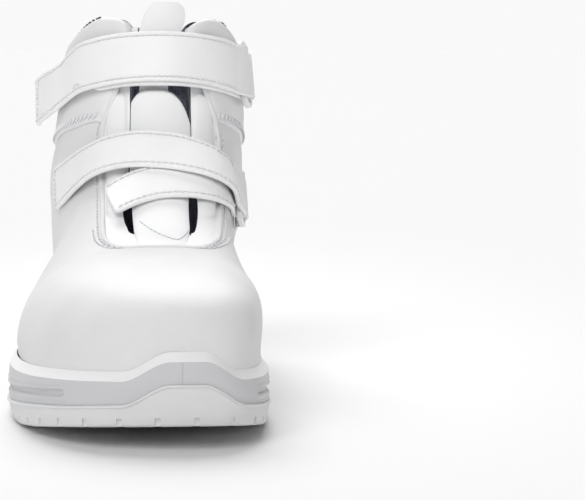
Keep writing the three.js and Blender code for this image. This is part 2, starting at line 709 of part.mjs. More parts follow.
// A closed sheet between two grids of equally many rows and columns of points
function slab(outer, inner) {
  const [rows, columns] = [outer.length, outer[0].length];
  const points = [...outer.flat(), ...inner.flat()];
  const number = (side, row, column) => (side * rows + row) * columns + column;
  const faces = [];
  const quad = (a, b, c, d) => faces.push([a, b, c], [a, c, d]);
  for (let i = 0; i + 1 < rows; i++) {
    for (let j = 0; j + 1 < columns; j++) {
      quad(number(0, i, j), number(0, i, j + 1), number(0, i + 1, j + 1), number(0, i + 1, j));
      quad(number(1, i, j), number(1, i + 1, j), number(1, i + 1, j + 1), number(1, i, j + 1));
    }
    const last = columns - 1;
    quad(number(0, i, 0), number(0, i + 1, 0), number(1, i + 1, 0), number(1, i, 0));
    quad(number(0, i + 1, last), number(0, i, last), number(1, i, last), number(1, i + 1, last));
  }
  for (let j = 0; j + 1 < columns; j++) {
    const last = rows - 1;
    quad(number(0, 0, j + 1), number(0, 0, j), number(1, 0, j), number(1, 0, j + 1));
    quad(number(0, last, j), number(0, last, j + 1), number(1, last, j + 1), number(1, last, j));
  }
  return solidOf(points, faces);
}

function upperSolid() {
  const seat = blockAt(seatHeight, clearance, -50);
  const collar = upperForm((at, around) => {
    const share = THREE.MathUtils.clamp(collarShare(surface(at, around)), 0, 1);
    return surface(at, around, seamStep + collarPuff * Math.sin(Math.PI * share) ** 0.6);
  });
  const outer = plainForm(0).add(collar.intersect(blockAt(collarSeam, 0, 300)));
  const inner = upperForm((at, around) => {
    const share = THREE.MathUtils.smoothstep(collarShare(surface(at, around)), -0.1, 0.3);
    return surface(at, around, -wall - collarPad * share);
  }, innerSteps);
  const aboveCollar = blockAt(collarTop, 0, 300, 90);
  return outer.subtract(inner).subtract(seat).subtract(aboveCollar).subtract(throatPrism(throatCorners(0)));
}

// The throat's lining with a padded roll on each side of the tongue
const facingTop = 0.97; // shares of bootHeight
const rollLow = 0.49;
const rollHigh = 0.81;

function facingSolid() {
  const heights = [0.38, 0.42, 0.45, 0.485, 0.5, 0.55, 0.62, 0.69, 0.76, 0.795, 0.815, facingTop];
  const edge = tongueHalf + slotGap;
  const across = [-30];
  for (const side of [-1, 1]) {
    for (const part of [0, 0.1, 0.3, 0.7, 0.9, 1]) {
      const out = edge + rollWidth * part;
      across.push(side * out);
    }
  }
  across.push(30);
  across.sort((a, b) => a - b);
  const swell = (offset, height) => {
    const part = (Math.abs(offset) - edge) / rollWidth;
    if (part < 0 || part > 1) return 0;
    const ends = Math.min((height - rollLow) / 0.02, (rollHigh - height) / 0.025);
    return facingRoll * Math.sqrt(4 * part * (1 - part)) * Math.sqrt(THREE.MathUtils.clamp(ends, 0, 1));
  };
  const grid = (lift) =>
    heights.map((height) => {
      const at = height < 0.42 ? 7 + (height - 0.418) * 20 : sectionOfHeight(height * bootHeight);
      return across.map((offset) => {
        const around = aroundAt(at, throatMiddle + offset);
        return offSurface(at, around, lift(offset, height));
      });
    });
  const outer = grid((offset, height) => swell(offset, height) - webRecess);
  const inner = grid(() => -webRecess - facingThickness);
  return slab(outer, inner)
    .intersect(throatPrism(throatCorners(clearance)))
    .subtract(throatPrism(windowCorners()));
}

// The window that the tongue stands in
function windowCorners() {
  const rows = tongueStations.map((at) => {
    const up = tongueSide.up(at);
    const along = rimWidth + form.topAlong(sectionOfHeight(up));
    const reach = tongueSide.half(at) + tongueSide.slot(at);
    const lean = tongueSide.lean(at);
    return { lateral: lean - reach, medial: lean + reach, rise: up * tiltSin - along * tiltCos };
  });
  const foot = { lateral: rows[0].lateral, medial: rows[0].medial, rise: rows[0].rise - footGap };
  const head = { ...rows.at(-1), rise: rows.at(-1).rise + 30 };
  const all = [foot, ...rows.slice(1), head];
  return [
    ...all.map(({ lateral, rise }) => [lateral, rise]),
    ...all.reverse().map(({ medial, rise }) => [medial, rise]),
  ];
}

const tongueSide = {
  up: track(tongueRows, "up", bootHeight),
  half: track(tongueRows, "half", tongueHalf),
  pad: track(tongueRows, "pad", tonguePad),
  lean: track(tongueRows, "lean", tongueHalf),
  slot: track(tongueRows, "slot", tongueHalf),
};
const tongueStations = tongueRows.map((row, i) => i);

// The tongue thins out between these heights towards its lower end
const tongueFoot = 0.43 * bootHeight;
const tongueFull = 0.56 * bootHeight;

function tongueSolid() {
  const shares = [-1, -0.8, -0.4, 0, 0.4, 0.8, 1];
  const grid = (lift) =>
    tongueStations.map((station) => {
      const at = sectionOfHeight(tongueSide.up(station));
      return shares.map((share) => {
        const across = share * tongueSide.half(station) + tongueSide.lean(station);
        const around = aroundAt(at, throatMiddle + across);
        return offSurface(at, around, lift(share, station));
      });
    });
  const outer = grid((share, station) => tongueSide.pad(station) * Math.sqrt(1.02 - share ** 2) - 0.2);
  const inner = grid((share, station) => {
    const depth = THREE.MathUtils.smoothstep(tongueSide.up(station), tongueFoot, tongueFull);
    return -0.9 - (tongueThickness - 0.9) * depth * (1 - 0.4 * share ** 2);
  });
  return slab(outer, inner);
}

// A ribbon's cross-section: three pairs of points, the lower and the upper one of each. Near the
// ribbon's end its upper edge starts later by the slant, in rows, and stands off by the twist.
function strapStation(rows, step, width, { slant, twist }) {
  const at = track(rows, "at", 1);
  const around = track(rows, "around", 1);
  const lift = track(rows, "lift", 1);
  return [-0.5, 0, 0.5].map((side) => {
    const here = step + slant * (side + 0.5) * Math.max(1 - step / 2, 0);
    const [before, after] = [Math.max(here - 0.1, 0), Math.min(here + 0.1, rows.length - 1)];
    const along = surface(at(after), around(after)).sub(surface(at(before), around(before)));
    const start = { at: at(here), around: around(here) };
    const across = frameOn(start.at, start.around).out.cross(along).normalize();
    const raised = lift(here) + twist * 2 * side * Math.max(1 - step / 3, 0);
    return pairOff(start, across.multiplyScalar(side * width), raised, strapThickness);
  });
}

// The two faces of a sheet over the place reached by moving along the surface from another place
function pairOff(start, move, lift, thickness) {
  let { at, around } = start;
  const parts = 4;
  for (let i = 0; i < parts; i++) {
    const { upward, onward } = frameOn(at, around);
    const [a, b, c] = [upward.dot(upward), upward.dot(onward), onward.dot(onward)];
    const [p, q] = [move.dot(upward) / parts, move.dot(onward) / parts];
    at += ((c * p - b * q) / (a * c - b * b)) * frameStep;
    around += ((a * q - b * p) / (a * c - b * b)) * frameTurn;
  }
  return [offSurface(at, around, lift), offSurface(at, around, lift + thickness)];
}

// The directions at a ring and the height of its bars over the upper
function ringFrame(strap) {
  const { point, out } = frameOn(strap.ring.at, strap.ring.around);
  const last = strap.under.at(-1);
  const along = point.clone().sub(surface(last.at, last.around));
  along.addScaledVector(out, -along.dot(out)).normalize();
  const across = out.clone().cross(along).normalize();
  return { point, out, along, across, lift: last.lift + strapThickness + clearance + ringBar / 2 };
}

// A cross-section at an angle round one of a ring's bars, a ribbon's thickness away from it
function foldStation(frame, bar, degrees, width, thickness) {
  const angle = THREE.MathUtils.degToRad(degrees);
  const away = frame.along
    .clone()
    .multiplyScalar(Math.cos(angle))
    .addScaledVector(frame.out, Math.sin(angle));
  const near = ringBar / 2 + clearance;
  return [-0.5, 0, 0.5].map((side) => {
    const middle = frame.point
      .clone()
      .addScaledVector(frame.along, bar)
      .addScaledVector(frame.out, frame.lift)
      .addScaledVector(frame.across, side * width);
    return [near, near + thickness].map((reach) => middle.clone().addScaledVector(away, reach));
  });
}

function ribbon(stations) {
  return slab(
    stations.map((station) => station.map((pair) => pair[1])),
    stations.map((station) => station.map((pair) => pair[0])),
  );
}

const swapFaces = (station) => station.map(([low, high]) => [high, low]);
const roundEnd = [0.78, 0.95, 1]; // shares of a strap's width
const stationsPerRow = 2;

function strapSolid(strap) {
  const frame = ringFrame(strap);
  const run = (rows, end = { slant: 0, twist: 0 }) => {
    const count = Math.round((rows.length - 1) * stationsPerRow);
    return Array.from({ length: count + 1 }, (_, i) => {
      const width = strap.width * roundEnd[Math.min(i, roundEnd.length - 1)];
      return strapStation(rows, ((rows.length - 1) * i) / count, width, end);
    });
  };
  const fold = [-90, -60, -30, 0, 30, 60, 90].map((degrees) =>
    foldStation(frame, -ringPitch / 2, degrees, strap.width, strapThickness),
  );
  const under = run(strap.under, strap.underEnd).map(swapFaces);
  return ribbon([...under, ...fold, ...run(strap.over, strap.overEnd).reverse()]);
}

// A closed loop from a rounded rectangle in the plane of along and across
function ringSolid(strap) {
  const frame = ringFrame(strap);
  const [long, short] = [strap.width + 2 * (clearance + 0.6) + ringBar, ringPitch];
  const corner = 3.4;
  const stations = [];
  for (const [u, v, from] of [[1, 1, 0], [-1, 1, 90], [-1, -1, 180], [1, -1, 270]]) {
    for (const part of [0, 30, 60, 90]) {
      const angle = THREE.MathUtils.degToRad(from + part);
      const normal = new THREE.Vector2(Math.cos(angle), Math.sin(angle));
      stations.push({
        forward: u * (short / 2 - corner) + normal.x * corner,
        side: v * (long / 2 - corner) + normal.y * corner,
        normal,
      });
    }
  }
  const rings = stations.map(({ forward, side, normal }) =>
    Array.from({ length: 6 }, (_, i) => {
      const angle = (i / 6) * 2 * Math.PI;
      const reach = (ringBar / 2) * Math.cos(angle);
      return frame.point
        .clone()
        .addScaledVector(frame.along, forward + normal.x * reach)
        .addScaledVector(frame.across, side + normal.y * reach)
        .addScaledVector(frame.out, frame.lift + (ringBar / 2) * Math.sin(angle));
    }),
  );
  return loft([...rings, rings[0]]);
}

// A tab from the quarter, over the ring's far bar and back under it
function tabSolid(strap) {
  const frame = ringFrame(strap);
  const bar = ringPitch / 2;
  const floor = strap.under.at(-1).lift;
  const tabWidth = strap.width * tabShare;
  const rise = frame.lift + ringBar / 2 + clearance - floor;
  const leg = [
    { share: 1, width: 0.86, up: 0 },
    { share: 0.92, width: 1, up: 0 },
    { share: 0.7, width: 1, up: 0 },
    { share: 0.4, width: 1, up: 0.45 },
  ].map(({ share, width, up }) =>
    [-0.5, 0, 0.5].map((side) => {
      const move = frame.along.clone().multiplyScalar(bar + tabLength * share);
      move.addScaledVector(frame.across, side * tabWidth * width);
      return pairOff(strap.ring, move, floor + rise * up, tabThickness);
    }),
  );
  const fold = [90, 120, 150, 180, 210, 240, 270].map((degrees) =>
    foldStation(frame, bar, degrees, tabWidth, tabThickness),
  );
  const tail = foldStation(frame, bar + 2.2, 270, tabWidth, tabThickness);
  return ribbon([...leg, ...fold, tail]);
}

const cavity = plainForm(clearance).subtract(blockAt(seatHeight, 0, -50));
const insole = plainForm(-wall - clearance, innerSteps)
  .subtract(blockAt(seatHeight, clearance, -50))
  .subtract(blockAt(seatHeight, clearance + insoleThickness, 300));

// Pieces
const boot = new THREE.Group();
function add(name, solid, color, roughness) {
  const material = new THREE.MeshStandardMaterial({ color, roughness, metalness: 0 });
  const mesh = new THREE.Mesh(geometryOf(solid), material);
  mesh.name = name;
  boot.add(mesh);
}

add("outsole", outsoleSolid(), 0xe4e4e6, 0.55);
add("midsole", midsoleSolid(cavity), 0xe8e8ea, 0.5);
add("insole", insole, 0xd8d8da, 0.9);
add("upper", upperSolid(), 0xf2f2f2, 0.45);
add("throat_facing", facingSolid(), 0xe6e6ea, 0.6);
add("tongue", tongueSolid(), 0xf0f0f0, 0.6);
add("strap_top", strapSolid(topStrap), 0xeceeee, 0.45);
add("strap_low", strapSolid(lowStrap), 0xeceeee, 0.45);
add("ring_top", ringSolid(topStrap), 0xe0e0e0, 0.3);
add("ring_low", ringSolid(lowStrap), 0xe0e0e0, 0.3);
add("tab_top", tabSolid(topStrap), 0xe8e8e8, 0.5);
add("tab_low", tabSolid(lowStrap), 0xe8e8e8, 0.5);

export default boot;
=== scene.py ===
import math
from bisect import bisect_left, bisect_right
from functools import lru_cache

import bmesh
import bpy
from mathutils import Matrix, Vector
from mathutils.bvhtree import BVHTree
from mathutils.kdtree import KDTree


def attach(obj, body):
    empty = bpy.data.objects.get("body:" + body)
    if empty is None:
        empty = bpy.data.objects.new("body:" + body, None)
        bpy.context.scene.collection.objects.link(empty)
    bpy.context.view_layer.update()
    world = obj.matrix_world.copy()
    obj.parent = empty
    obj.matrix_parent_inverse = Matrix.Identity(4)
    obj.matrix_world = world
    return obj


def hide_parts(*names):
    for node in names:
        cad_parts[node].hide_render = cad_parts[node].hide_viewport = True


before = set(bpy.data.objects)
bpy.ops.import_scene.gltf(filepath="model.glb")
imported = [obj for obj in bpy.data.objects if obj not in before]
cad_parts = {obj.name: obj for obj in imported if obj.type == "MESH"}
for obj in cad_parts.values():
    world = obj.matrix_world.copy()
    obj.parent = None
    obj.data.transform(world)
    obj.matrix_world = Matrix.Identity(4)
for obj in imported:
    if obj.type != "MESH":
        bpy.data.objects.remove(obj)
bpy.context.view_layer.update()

# The boot's shape. Lengths are millimetres until a mesh is finished.
boot = {
    "soleLength": 300,
    "ballLateral": 59.5,
    "ballMedial": 47,
    "heelPad": 42,  # from the sole's heel end to the origin
    "height": 165,
    "rimWidth": 3.6,
    "wall": 2.2,
    "clearance": 0.3,
    "toeHump": 7.4,
}

# along, lateral, medial
outlineRows = [
    (0, 0, 0), (0.005, 0.19, 0.24), (0.0233, 0.37, 0.466), (0.06, 0.53, 0.665), (0.1167, 0.635, 0.79),
    (0.2, 0.673, 0.83), (0.283, 0.706, 0.817), (0.367, 0.775, 0.796), (0.467, 0.881, 0.815),
    (0.567, 0.971, 0.885), (0.65, 1, 0.957), (0.733, 0.971, 1), (0.817, 0.882, 0.983),
    (0.883, 0.765, 0.936), (0.94, 0.588, 0.851), (0.973, 0.403, 0.723), (0.9917, 0.151, 0.543),
    (1, -0.168, 0.213),
]

# along, tread, bead, rim, seat
heightRows = [
    (0, 0.022, 0.067, 0.237, 0.18), (0.045, 0, 0.064, 0.233, 0.176), (0.2, 0, 0.061, 0.222, 0.17),
    (0.27, 0, 0.062, 0.214, 0.165), (0.3, 0.026, 0.064, 0.208, 0.16), (0.37, 0.028, 0.062, 0.192, 0.14),
    (0.42, 0, 0.054, 0.18, 0.125), (0.53, 0, 0.044, 0.163, 0.098), (0.65, 0, 0.044, 0.157, 0.088),
    (0.72, 0, 0.051, 0.158, 0.088), (0.78, 0.006, 0.062, 0.16, 0.092), (0.86, 0.023, 0.079, 0.168, 0.102),
    (0.94, 0.045, 0.096, 0.178, 0.118), (1, 0.06, 0.113, 0.186, 0.13),
]

# topAlong, topUp, baseAlong, baseUp, wide, lateral, medial, ridge, low, outside, inside
sectionRows = [
    (1, 0.25, 1, 0.05, 0.45, 1, 1, 0.26, 4, 2.3, 2.6),
    (0.992, 0.309, 0.992, 0.05, 0.42, 1, 1, 0.25, 4, 2.5, 2.9),
    (0.972, 0.345, 0.972, 0.05, 0.41, 1, 1, 0.22, 4, 2.8, 3.1),
    (0.937, 0.37, 0.937, 0.05, 0.4, 1, 1, 0.19, 4, 3.1, 3.2),
    (0.88, 0.391, 0.88, 0.05, 0.39, 1, 1, 0.16, 4, 3.2, 2.7),
    (0.805, 0.402, 0.805, 0.05, 0.38, 1, 1, 0.14, 4, 3.3, 2.55),
    (0.722, 0.405, 0.722, 0.05, 0.38, 1, 1, 0.12, 4, 3.2, 2.5),
    (0.647, 0.418, 0.644, 0.05, 0.38, 1, 1, 0.1, 4, 2.9, 2.5),
    (0.572, 0.485, 0.53, 0.05, 0.38, 0.98, 0.98, 0.1, 3.2, 2.6, 2.5),
    (0.5, 0.588, 0.3, 0.05, 0.42, 1.03, 1.05, 0.1, 2.2, 2.3, 2.6),
    (0.463, 0.668, 0.06, 0.075, 0.46, 1.2, 1.12, 0.1, 1.6, 2.3, 2.4),
    (0.435, 0.745, -0.005, 0.3, 0.48, 1.27, 1.19, 0.1, 2.3, 2.3, 2.3),
    (0.417, 0.812, 0, 0.48, 0.48, 1.16, 1.2, 0.1, 2.3, 2.3, 2.3),
    (0.405, 0.879, 0.012, 0.62, 0.48, 1.06, 1.17, 0.1, 2.3, 2.3, 2.3),
    (0.397, 0.945, 0.018, 0.75, 0.48, 0.99, 1.12, 0.1, 2.3, 2.3, 2.3),
    (0.392, 1.006, 0.014, 0.88, 0.48, 0.94, 1.07, 0.1, 2.3, 2.3, 2.3),
    (0.388, 1.08, 0.006, 1.01, 0.48, 0.92, 1.04, 0.1, 2.3, 2.3, 2.3),
]

# along, seam, top
collarRows = [
    (-0.05, 0.69, 0.89), (0.03, 0.66, 0.883), (0.1, 0.633, 0.876), (0.17, 0.623, 0.882),
    (0.24, 0.64, 0.91), (0.3, 0.668, 0.952), (0.335, 0.682, 0.982), (0.365, 0.695, 1),
    (0.385, 0.706, 0.99), (0.398, 0.712, 0.955), (0.44, 0.727, 0.86), (0.5, 0.97, 0.8),
]

throat = {
    "half": 24.8,
    "middle": 4.5,
    "tilt": 50,  # degrees, of the instep's slope
    "depth": 178,
    "reach": 13,
    "near": (45, -95, 140),  # across, up, out: past these a point is far from the throat
    # up, lateral, medial
    "rows": [
        (-0.442, 0.52, 0.48), (-0.43, 0.72, 0.66), (-0.4, 0.88, 0.84), (-0.35, 0.96, 0.95),
        (-0.2, 0.98, 1), (0.03, 1, 1.02), (0.12, 0.77, 0.83), (0.2, 0.6, 0.6), (0.28, 0.48, 0.46),
        (0.3, 0.57, 0.58), (0.32, 0.74, 0.76), (0.35, 1.08, 1.08), (0.42, 1.1, 1.1),
    ],
}

tongue = {
    "half": 13.2,
    "pad": 2.3,
    "thickness": 5.5,
    "archTop": 0.792,  # the pad ends in an arch: its crown, its depth, how far it falls to either side
    "archDrop": 3.4,
    "archSides": (0.095, 0.031),
    "archMiddle": -0.3,
    "archPower": 3.7,
    "archBlend": 0.022,
    "above": (0.845, 0.88),
    "paintedShadeOutside": (-0.8, 0.3),  # outside of this the tongue's face beside the arch is painted with the dark lining, as painted shade
    "foot": (0.42, 0.45),  # heights between which the sewn foot rises
    "footDrop": 0.8,
    "sink": 0.2,
    "under": 0.9,
    "deep": (0.43, 0.56),
    # up, half, pad, lean, slot
    "rows": [
        (0.408, 0.4, 0.05, 0, 0.1), (0.42, 0.72, 0.35, 0, 0.06), (0.434, 0.83, 0.75, 0, -0.3),
        (0.447, 0.88, 0.95, 0, 0.12), (0.458, 0.9, 1, 0, 0.2), (0.48, 0.91, 1, -0.02, 0.28),
        (0.52, 0.93, 1, -0.03, 0.28), (0.56, 0.97, 1, -0.02, 0.12), (0.62, 1, 1, 0, 0.04),
        (0.7, 1, 1, 0.02, 0.03), (0.76, 0.99, 0.9, 0.03, 0.03), (0.8, 0.97, 0.45, 0.03, 0.05),
        (0.87, 0.9, 0.3, 0.03, 0.08), (0.95, 0.72, 0.3, 0.04, 0.08), (0.99, 0.72, 0.3, 0.16, 0.08),
        (1.02, 0.62, 0.2, 0.24, 0.08), (1.035, 0.42, 0.1, 0.26, 0.08),
    ],
}

facing = {
    "recess": 0.7,
    "thickness": 2.4,
    "roll": 2.0,
    "rollWidth": 9.5,
    "rollLow": 0.49,
    "rollHigh": 0.81,
    "slotGap": 1.2,
    "slotLow": 0.433,
    "low": 0.38,
    "top": 0.97,
    "reach": 30.0,  # half of the panel's width before it is trimmed
    "parts": 150,
    "tuck": 0.6,  # under the vamp's edge
}

# around, at, lift
topStrap = {
    "name": "top",
    "width": 24,
    "under": [
        (-36, 12.97, 3.1), (-20, 12.94, 3.1), (0, 12.9, 3.1), (24, 12.93, 3.1), (46, 13.06, 3.1),
    ],
    "over": [
        (-95, 13.1, 13), (-87, 13.03, 9.8), (-77, 12.95, 6.8), (-66, 12.95, 4.6), (-56, 13.02, 4.2),
        (-43, 13.04, 5.4), (-30, 13.02, 5.5), (0, 13.02, 5.4), (24, 13.01, 5.5), (46, 13.07, 5.8),
    ],
    "underEnd": (0, 0),  # slant, twist
    "overEnd": (0, 2.5),
    "ring": (58, 13.14),
}
lowStrap = {
    "name": "low",
    "width": 20.5,
    "under": [
        (-27, 8.24, 2.7), (-16, 8.44, 2.8), (0, 8.62, 2.8), (15, 8.68, 2.8), (28, 8.82, 2.2),
        (38, 9.05, 1.2), (47, 9.36, 0.5),
    ],
    "over": [
        (-68, 10.3, 0.6), (-61, 10.18, 0.6), (-54, 10.07, 0.9), (-43, 9.9, 2.2), (-30, 9.7, 4.2),
        (-15, 9.52, 5.1), (0, 9.38, 5.3), (13, 9.23, 6.2), (26, 9.2, 6.6), (37, 9.33, 5.2),
        (47, 9.46, 3.4),
    ],
    "underEnd": (0.8, 0),
    "overEnd": (0, 0),
    "ring": (57.5, 9.56),
}
strapThickness = 2
ringBar = 2.6
ringPitch = 9.5
ringCorner = 3.4
ringPlay = 0.6
tabShare = 0.88
tabLength = 15
tabThickness = 1.2


def clamp(value, low=0.0, high=1.0):
    return min(max(value, low), high)


def lerp(a, b, share):
    return a + (b - a) * share


def smooth(value, low, high):
    share = clamp((value - low) / (high - low))
    return share * share * (3 - 2 * share)


def cubicThrough(xs, ys):
    last = len(xs) - 1

    def valueAt(t):
        t = clamp(t, xs[0], xs[last])
        i = clamp(bisect_right(xs, t), 1, last)
        t0, t1 = xs[i - 1], xs[i]
        before = i - 2 if i > 1 else i
        after = i + 1 if i < last else i - 1
        half = (t1 - t0) / 2
        wp, wn = half / (t0 - xs[before]), half / (xs[after] - t1)
        p = (t - t0) / (t1 - t0)
        pp = p * p
        ppp = pp * p
        return (
            (-wp * ppp + 2 * wp * pp - wp * p) * ys[before]
            + ((1 + wp) * ppp + (-1.5 - 2 * wp) * pp + (-0.5 + wp) * p + 1) * ys[i - 1]
            + ((-1 - wn) * ppp + (1.5 + wn) * pp + 0.5 * p) * ys[i]
            + (wn * ppp - wn * pp) * ys[after]
        )

    return valueAt


def linesThrough(xs, ys):
    def valueAt(t):
        t = clamp(t, xs[0], xs[-1])
        i = clamp(bisect_right(xs, t), 1, len(xs) - 1)
        return lerp(ys[i - 1], ys[i], (t - xs[i - 1]) / (xs[i] - xs[i - 1]))

    return valueAt


def overAlong(rows, column, make=cubicThrough):
    return make([row[0] * boot["soleLength"] for row in rows], [row[column] * boot["height"] for row in rows])


def overRows(rows, column, scale=1):
    return cubicThrough(list(range(len(rows))), [row[column] * scale for row in rows])


treadHeight = overAlong(heightRows, 1, linesThrough)
beadHeight = overAlong(heightRows, 2)
rimHeight = overAlong(heightRows, 3)
seatHeight = overAlong(heightRows, 4)
collarSeam = overAlong(collarRows, 1)
collarTop = overAlong(collarRows, 2)


def place(x, along, z):
    return Vector((x, boot["heelPad"] - along, z))


# The sole's outline as one closed curve, heel to toe on the lateral side and back on the medial one
outlinePoints = [
    Vector((-row[1] * boot["ballLateral"], row[0] * boot["soleLength"], 0)) for row in outlineRows
]
outlinePoints += [
    Vector((row[2] * boot["ballMedial"], row[0] * boot["soleLength"], 0)) for row in outlineRows[-2:0:-1]
]
toeApex = -outlineRows[-1][1] * boot["ballLateral"]


def outlinePoint(t):
    count = len(outlinePoints)
    whole = int(t * count)
    part = t * count - whole
    p0, p1, p2, p3 = (outlinePoints[(whole + k) % count] for k in (-1, 0, 1, 2))
    d0, d1, d2 = ((b - a).length ** 0.5 for a, b in ((p0, p1), (p1, p2), (p2, p3)))
    m1 = ((p1 - p0) / d0 - (p2 - p0) / (d0 + d1) + (p2 - p1) / d1) * d1
    m2 = ((p2 - p1) / d1 - (p3 - p1) / (d1 + d2) + (p3 - p2) / d2) * d1
    return p1 + part * (m1 + part * (-3 * p1 + 3 * p2 - 2 * m1 - m2 + part * (2 * p1 - 2 * p2 + m1 + m2)))


def outlineEdge(t, inset):
    t %= 1
    tangent = (outlinePoint((t + 1e-4) % 1) - outlinePoint((t - 1e-4) % 1)).normalized()
    return outlinePoint(t) + Vector((tangent.y, -tangent.x, 0)) * inset


@lru_cache(maxsize=None)
def sideOf(side, inset):
    steps = (len(outlineRows) - 1) * 12
    points = [outlineEdge(i / steps / 2 if side < 0 else 1 - i / steps / 2, inset) for i in range(steps + 1)]
    reach = []
    for point in points:
        reach.append(max(point.y, reach[-1]) if reach else point.y)
    return points, reach


def edgeAt(along, side, inset=0.0):
    points, reach = sideOf(side, inset)
    i = bisect_left(reach, along)
    if i == 0:
        return points[0].x
    if i == len(points):
        return points[-1].x
    a, b = points[i - 1], points[i]
    return lerp(a.x, b.x, (along - a.y) / (b.y - a.y))


def humpAt(x, along):
    up = smooth(x, toeApex - 23, toeApex - 4)
    down = 1 - smooth(x, toeApex + 9, toeApex + 25)
    return boot["toeHump"] * up * down * smooth(along, boot["soleLength"] * 0.88, boot["soleLength"] * 0.96)


upperLength = boot["soleLength"] - 2 * boot["rimWidth"]
form = [
    overRows(sectionRows, k, scale)
    for k, scale in enumerate(
        (upperLength, boot["height"], upperLength, boot["height"], 1, 1, 1, boot["ballMedial"], 1, 1, 1)
    )
]
lastSection = len(sectionRows) - 1
tableSteps = 32  # of the table of sections, per row


@lru_cache(maxsize=None)
def sectionRow(k):
    at = k / tableSteps
    topAlong, topUp, baseAlong, baseUp = (form[i](at) for i in range(4))
    wide, lateral, medial, ridge, low, outside, inside = (form[i](at) for i in range(4, 11))
    topX = boot["rimWidth"] + topAlong
    baseX = topX if at < 7 else boot["rimWidth"] + baseAlong
    widest = lerp(baseX, topX, wide)
    if k == 0:
        lateral = medial = toeApex
    else:
        lateral *= edgeAt(widest, -1, boot["rimWidth"])
        medial *= edgeAt(widest, 1, boot["rimWidth"])
    return (
        topX, topUp, baseX, baseUp, wide, (lateral + medial) / 2, (medial - lateral) / 2, ridge, low, outside,
        inside,
    )


def surface(at, around):
    at = clamp(at, 0, lastSection) * tableSteps
    k = min(int(at), lastSection * tableSteps - 1)
    part = at - k
    topX, topUp, baseX, baseUp, wide, middle, half, ridge, low, outside, inside = (
        a + (b - a) * part for a, b in zip(sectionRow(k), sectionRow(k + 1))
    )
    angle = math.radians(abs(around))
    side = 1 if around > 0 else -1
    upper = abs(around) <= 90
    power = 2 / ((outside if side < 0 else inside) if upper else low)
    out = max(math.sin(angle), 0) ** power
    rise = abs(math.cos(angle)) ** power
    level = wide + (1 - wide) * rise if upper else wide * (1 - rise)
    end = ridge if upper else 0
    x = middle + (end - middle) * rise ** 1.5 + side * half * out
    return place(x, lerp(baseX, topX, level), lerp(baseUp, topUp, level))


frameStep, frameTurn = 0.1, 2


def frameOn(at, around):
    upward = surface(at + frameStep / 2, around) - surface(at - frameStep / 2, around)
    onward = surface(at, around + frameTurn / 2) - surface(at, around - frameTurn / 2)
    return surface(at, around), onward.cross(upward).normalized(), upward, onward


def offSurface(at, around, lift):
    point, out, _, _ = frameOn(at, around)
    return point + out * lift


def solve(low, high, isLow, steps=26):
    for _ in range(steps):
        middle = (low + high) / 2
        if isLow(middle):
            low = middle
        else:
            high = middle
    return (low + high) / 2


def sectionOfHeight(up):
    return solve(6.5, lastSection, lambda at: form[1](at) < up)


# The instep's slope: across it, up along it and out of it
slopeCos, slopeSin = math.cos(math.radians(throat["tilt"])), math.sin(math.radians(throat["tilt"]))
slopeUp = Vector((0, slopeCos, slopeSin))
slopeOut = Vector((0, -slopeSin, slopeCos))
slopeStart = Vector((throat["middle"], boot["heelPad"], 0))


def onSlope(point):
    q = point - slopeStart
    return q.x, q.dot(slopeUp), q.dot(slopeOut)


throatLateral = overRows(throat["rows"], 1, throat["half"])
throatMedial = overRows(throat["rows"], 2, throat["half"])
throatUp = overRows(throat["rows"], 0, boot["height"])


def throatCorners(inset, parts=6):
    numbers = [i / parts for i in range((len(throat["rows"]) - 1) * parts + 1)]
    low = throatUp(0) + inset
    left = [(-throatLateral(k) + inset, max(throatUp(k), low)) for k in numbers]
    right = [(throatMedial(k) - inset, max(throatUp(k), low)) for k in reversed(numbers)]
    return left + right


tongueUp = overRows(tongue["rows"], 0, boot["height"])
tongueHalf = overRows(tongue["rows"], 1, tongue["half"])
tongueSwell = overRows(tongue["rows"], 2, tongue["pad"])
tongueLean = overRows(tongue["rows"], 3, tongue["half"])
tongueSlot = overRows(tongue["rows"], 4, tongue["half"])


def windowCorners(parts=6):
    rows = []
    for i in range((len(tongue["rows"]) - 1) * parts + 1):
        k = i / parts
        up = tongueUp(k)
        along = boot["rimWidth"] + form[0](sectionOfHeight(up))
        reach = tongueHalf(k) + tongueSlot(k)
        if up >= facing["slotLow"] * boot["height"]:
            rows.append((tongueLean(k) - reach, tongueLean(k) + reach, up * slopeSin - along * slopeCos))
    rows.append((rows[-1][0], rows[-1][1], rows[-1][2] + 30))
    return [(a, up) for a, _, up in rows] + [(b, up) for _, b, up in reversed(rows)]


def gapFrom(corners):
    # a function for the distance to a closed clockwise line through the corners, negative inside of it
    corners = [c for k, c in enumerate(corners) if math.dist(c, corners[k - 1]) > 0.01]
    tree = KDTree(len(corners))
    for i, corner in enumerate(corners):
        tree.insert((corner[0], corner[1], 0), i)
    tree.balance()

    def gapAt(x, y):
        nearest = tree.find((x, y, 0))[1]
        best, side = 1e9, 0.0
        for i in (nearest, (nearest + 1) % len(corners)):
            (ax, ay), (bx, by) = corners[i - 1], corners[i]
            dx, dy, px, py = bx - ax, by - ay, x - ax, y - ay
            size = math.hypot(dx, dy)
            share = clamp((px * dx + py * dy) / size ** 2)
            away, cross = math.hypot(px - share * dx, py - share * dy), (dx * py - dy * px) / size
            if away < best - 1e-6 or (away < best + 1e-6 and abs(cross) > abs(side)):
                best, side = away, cross
        return math.copysign(best, side)

    return gapAt


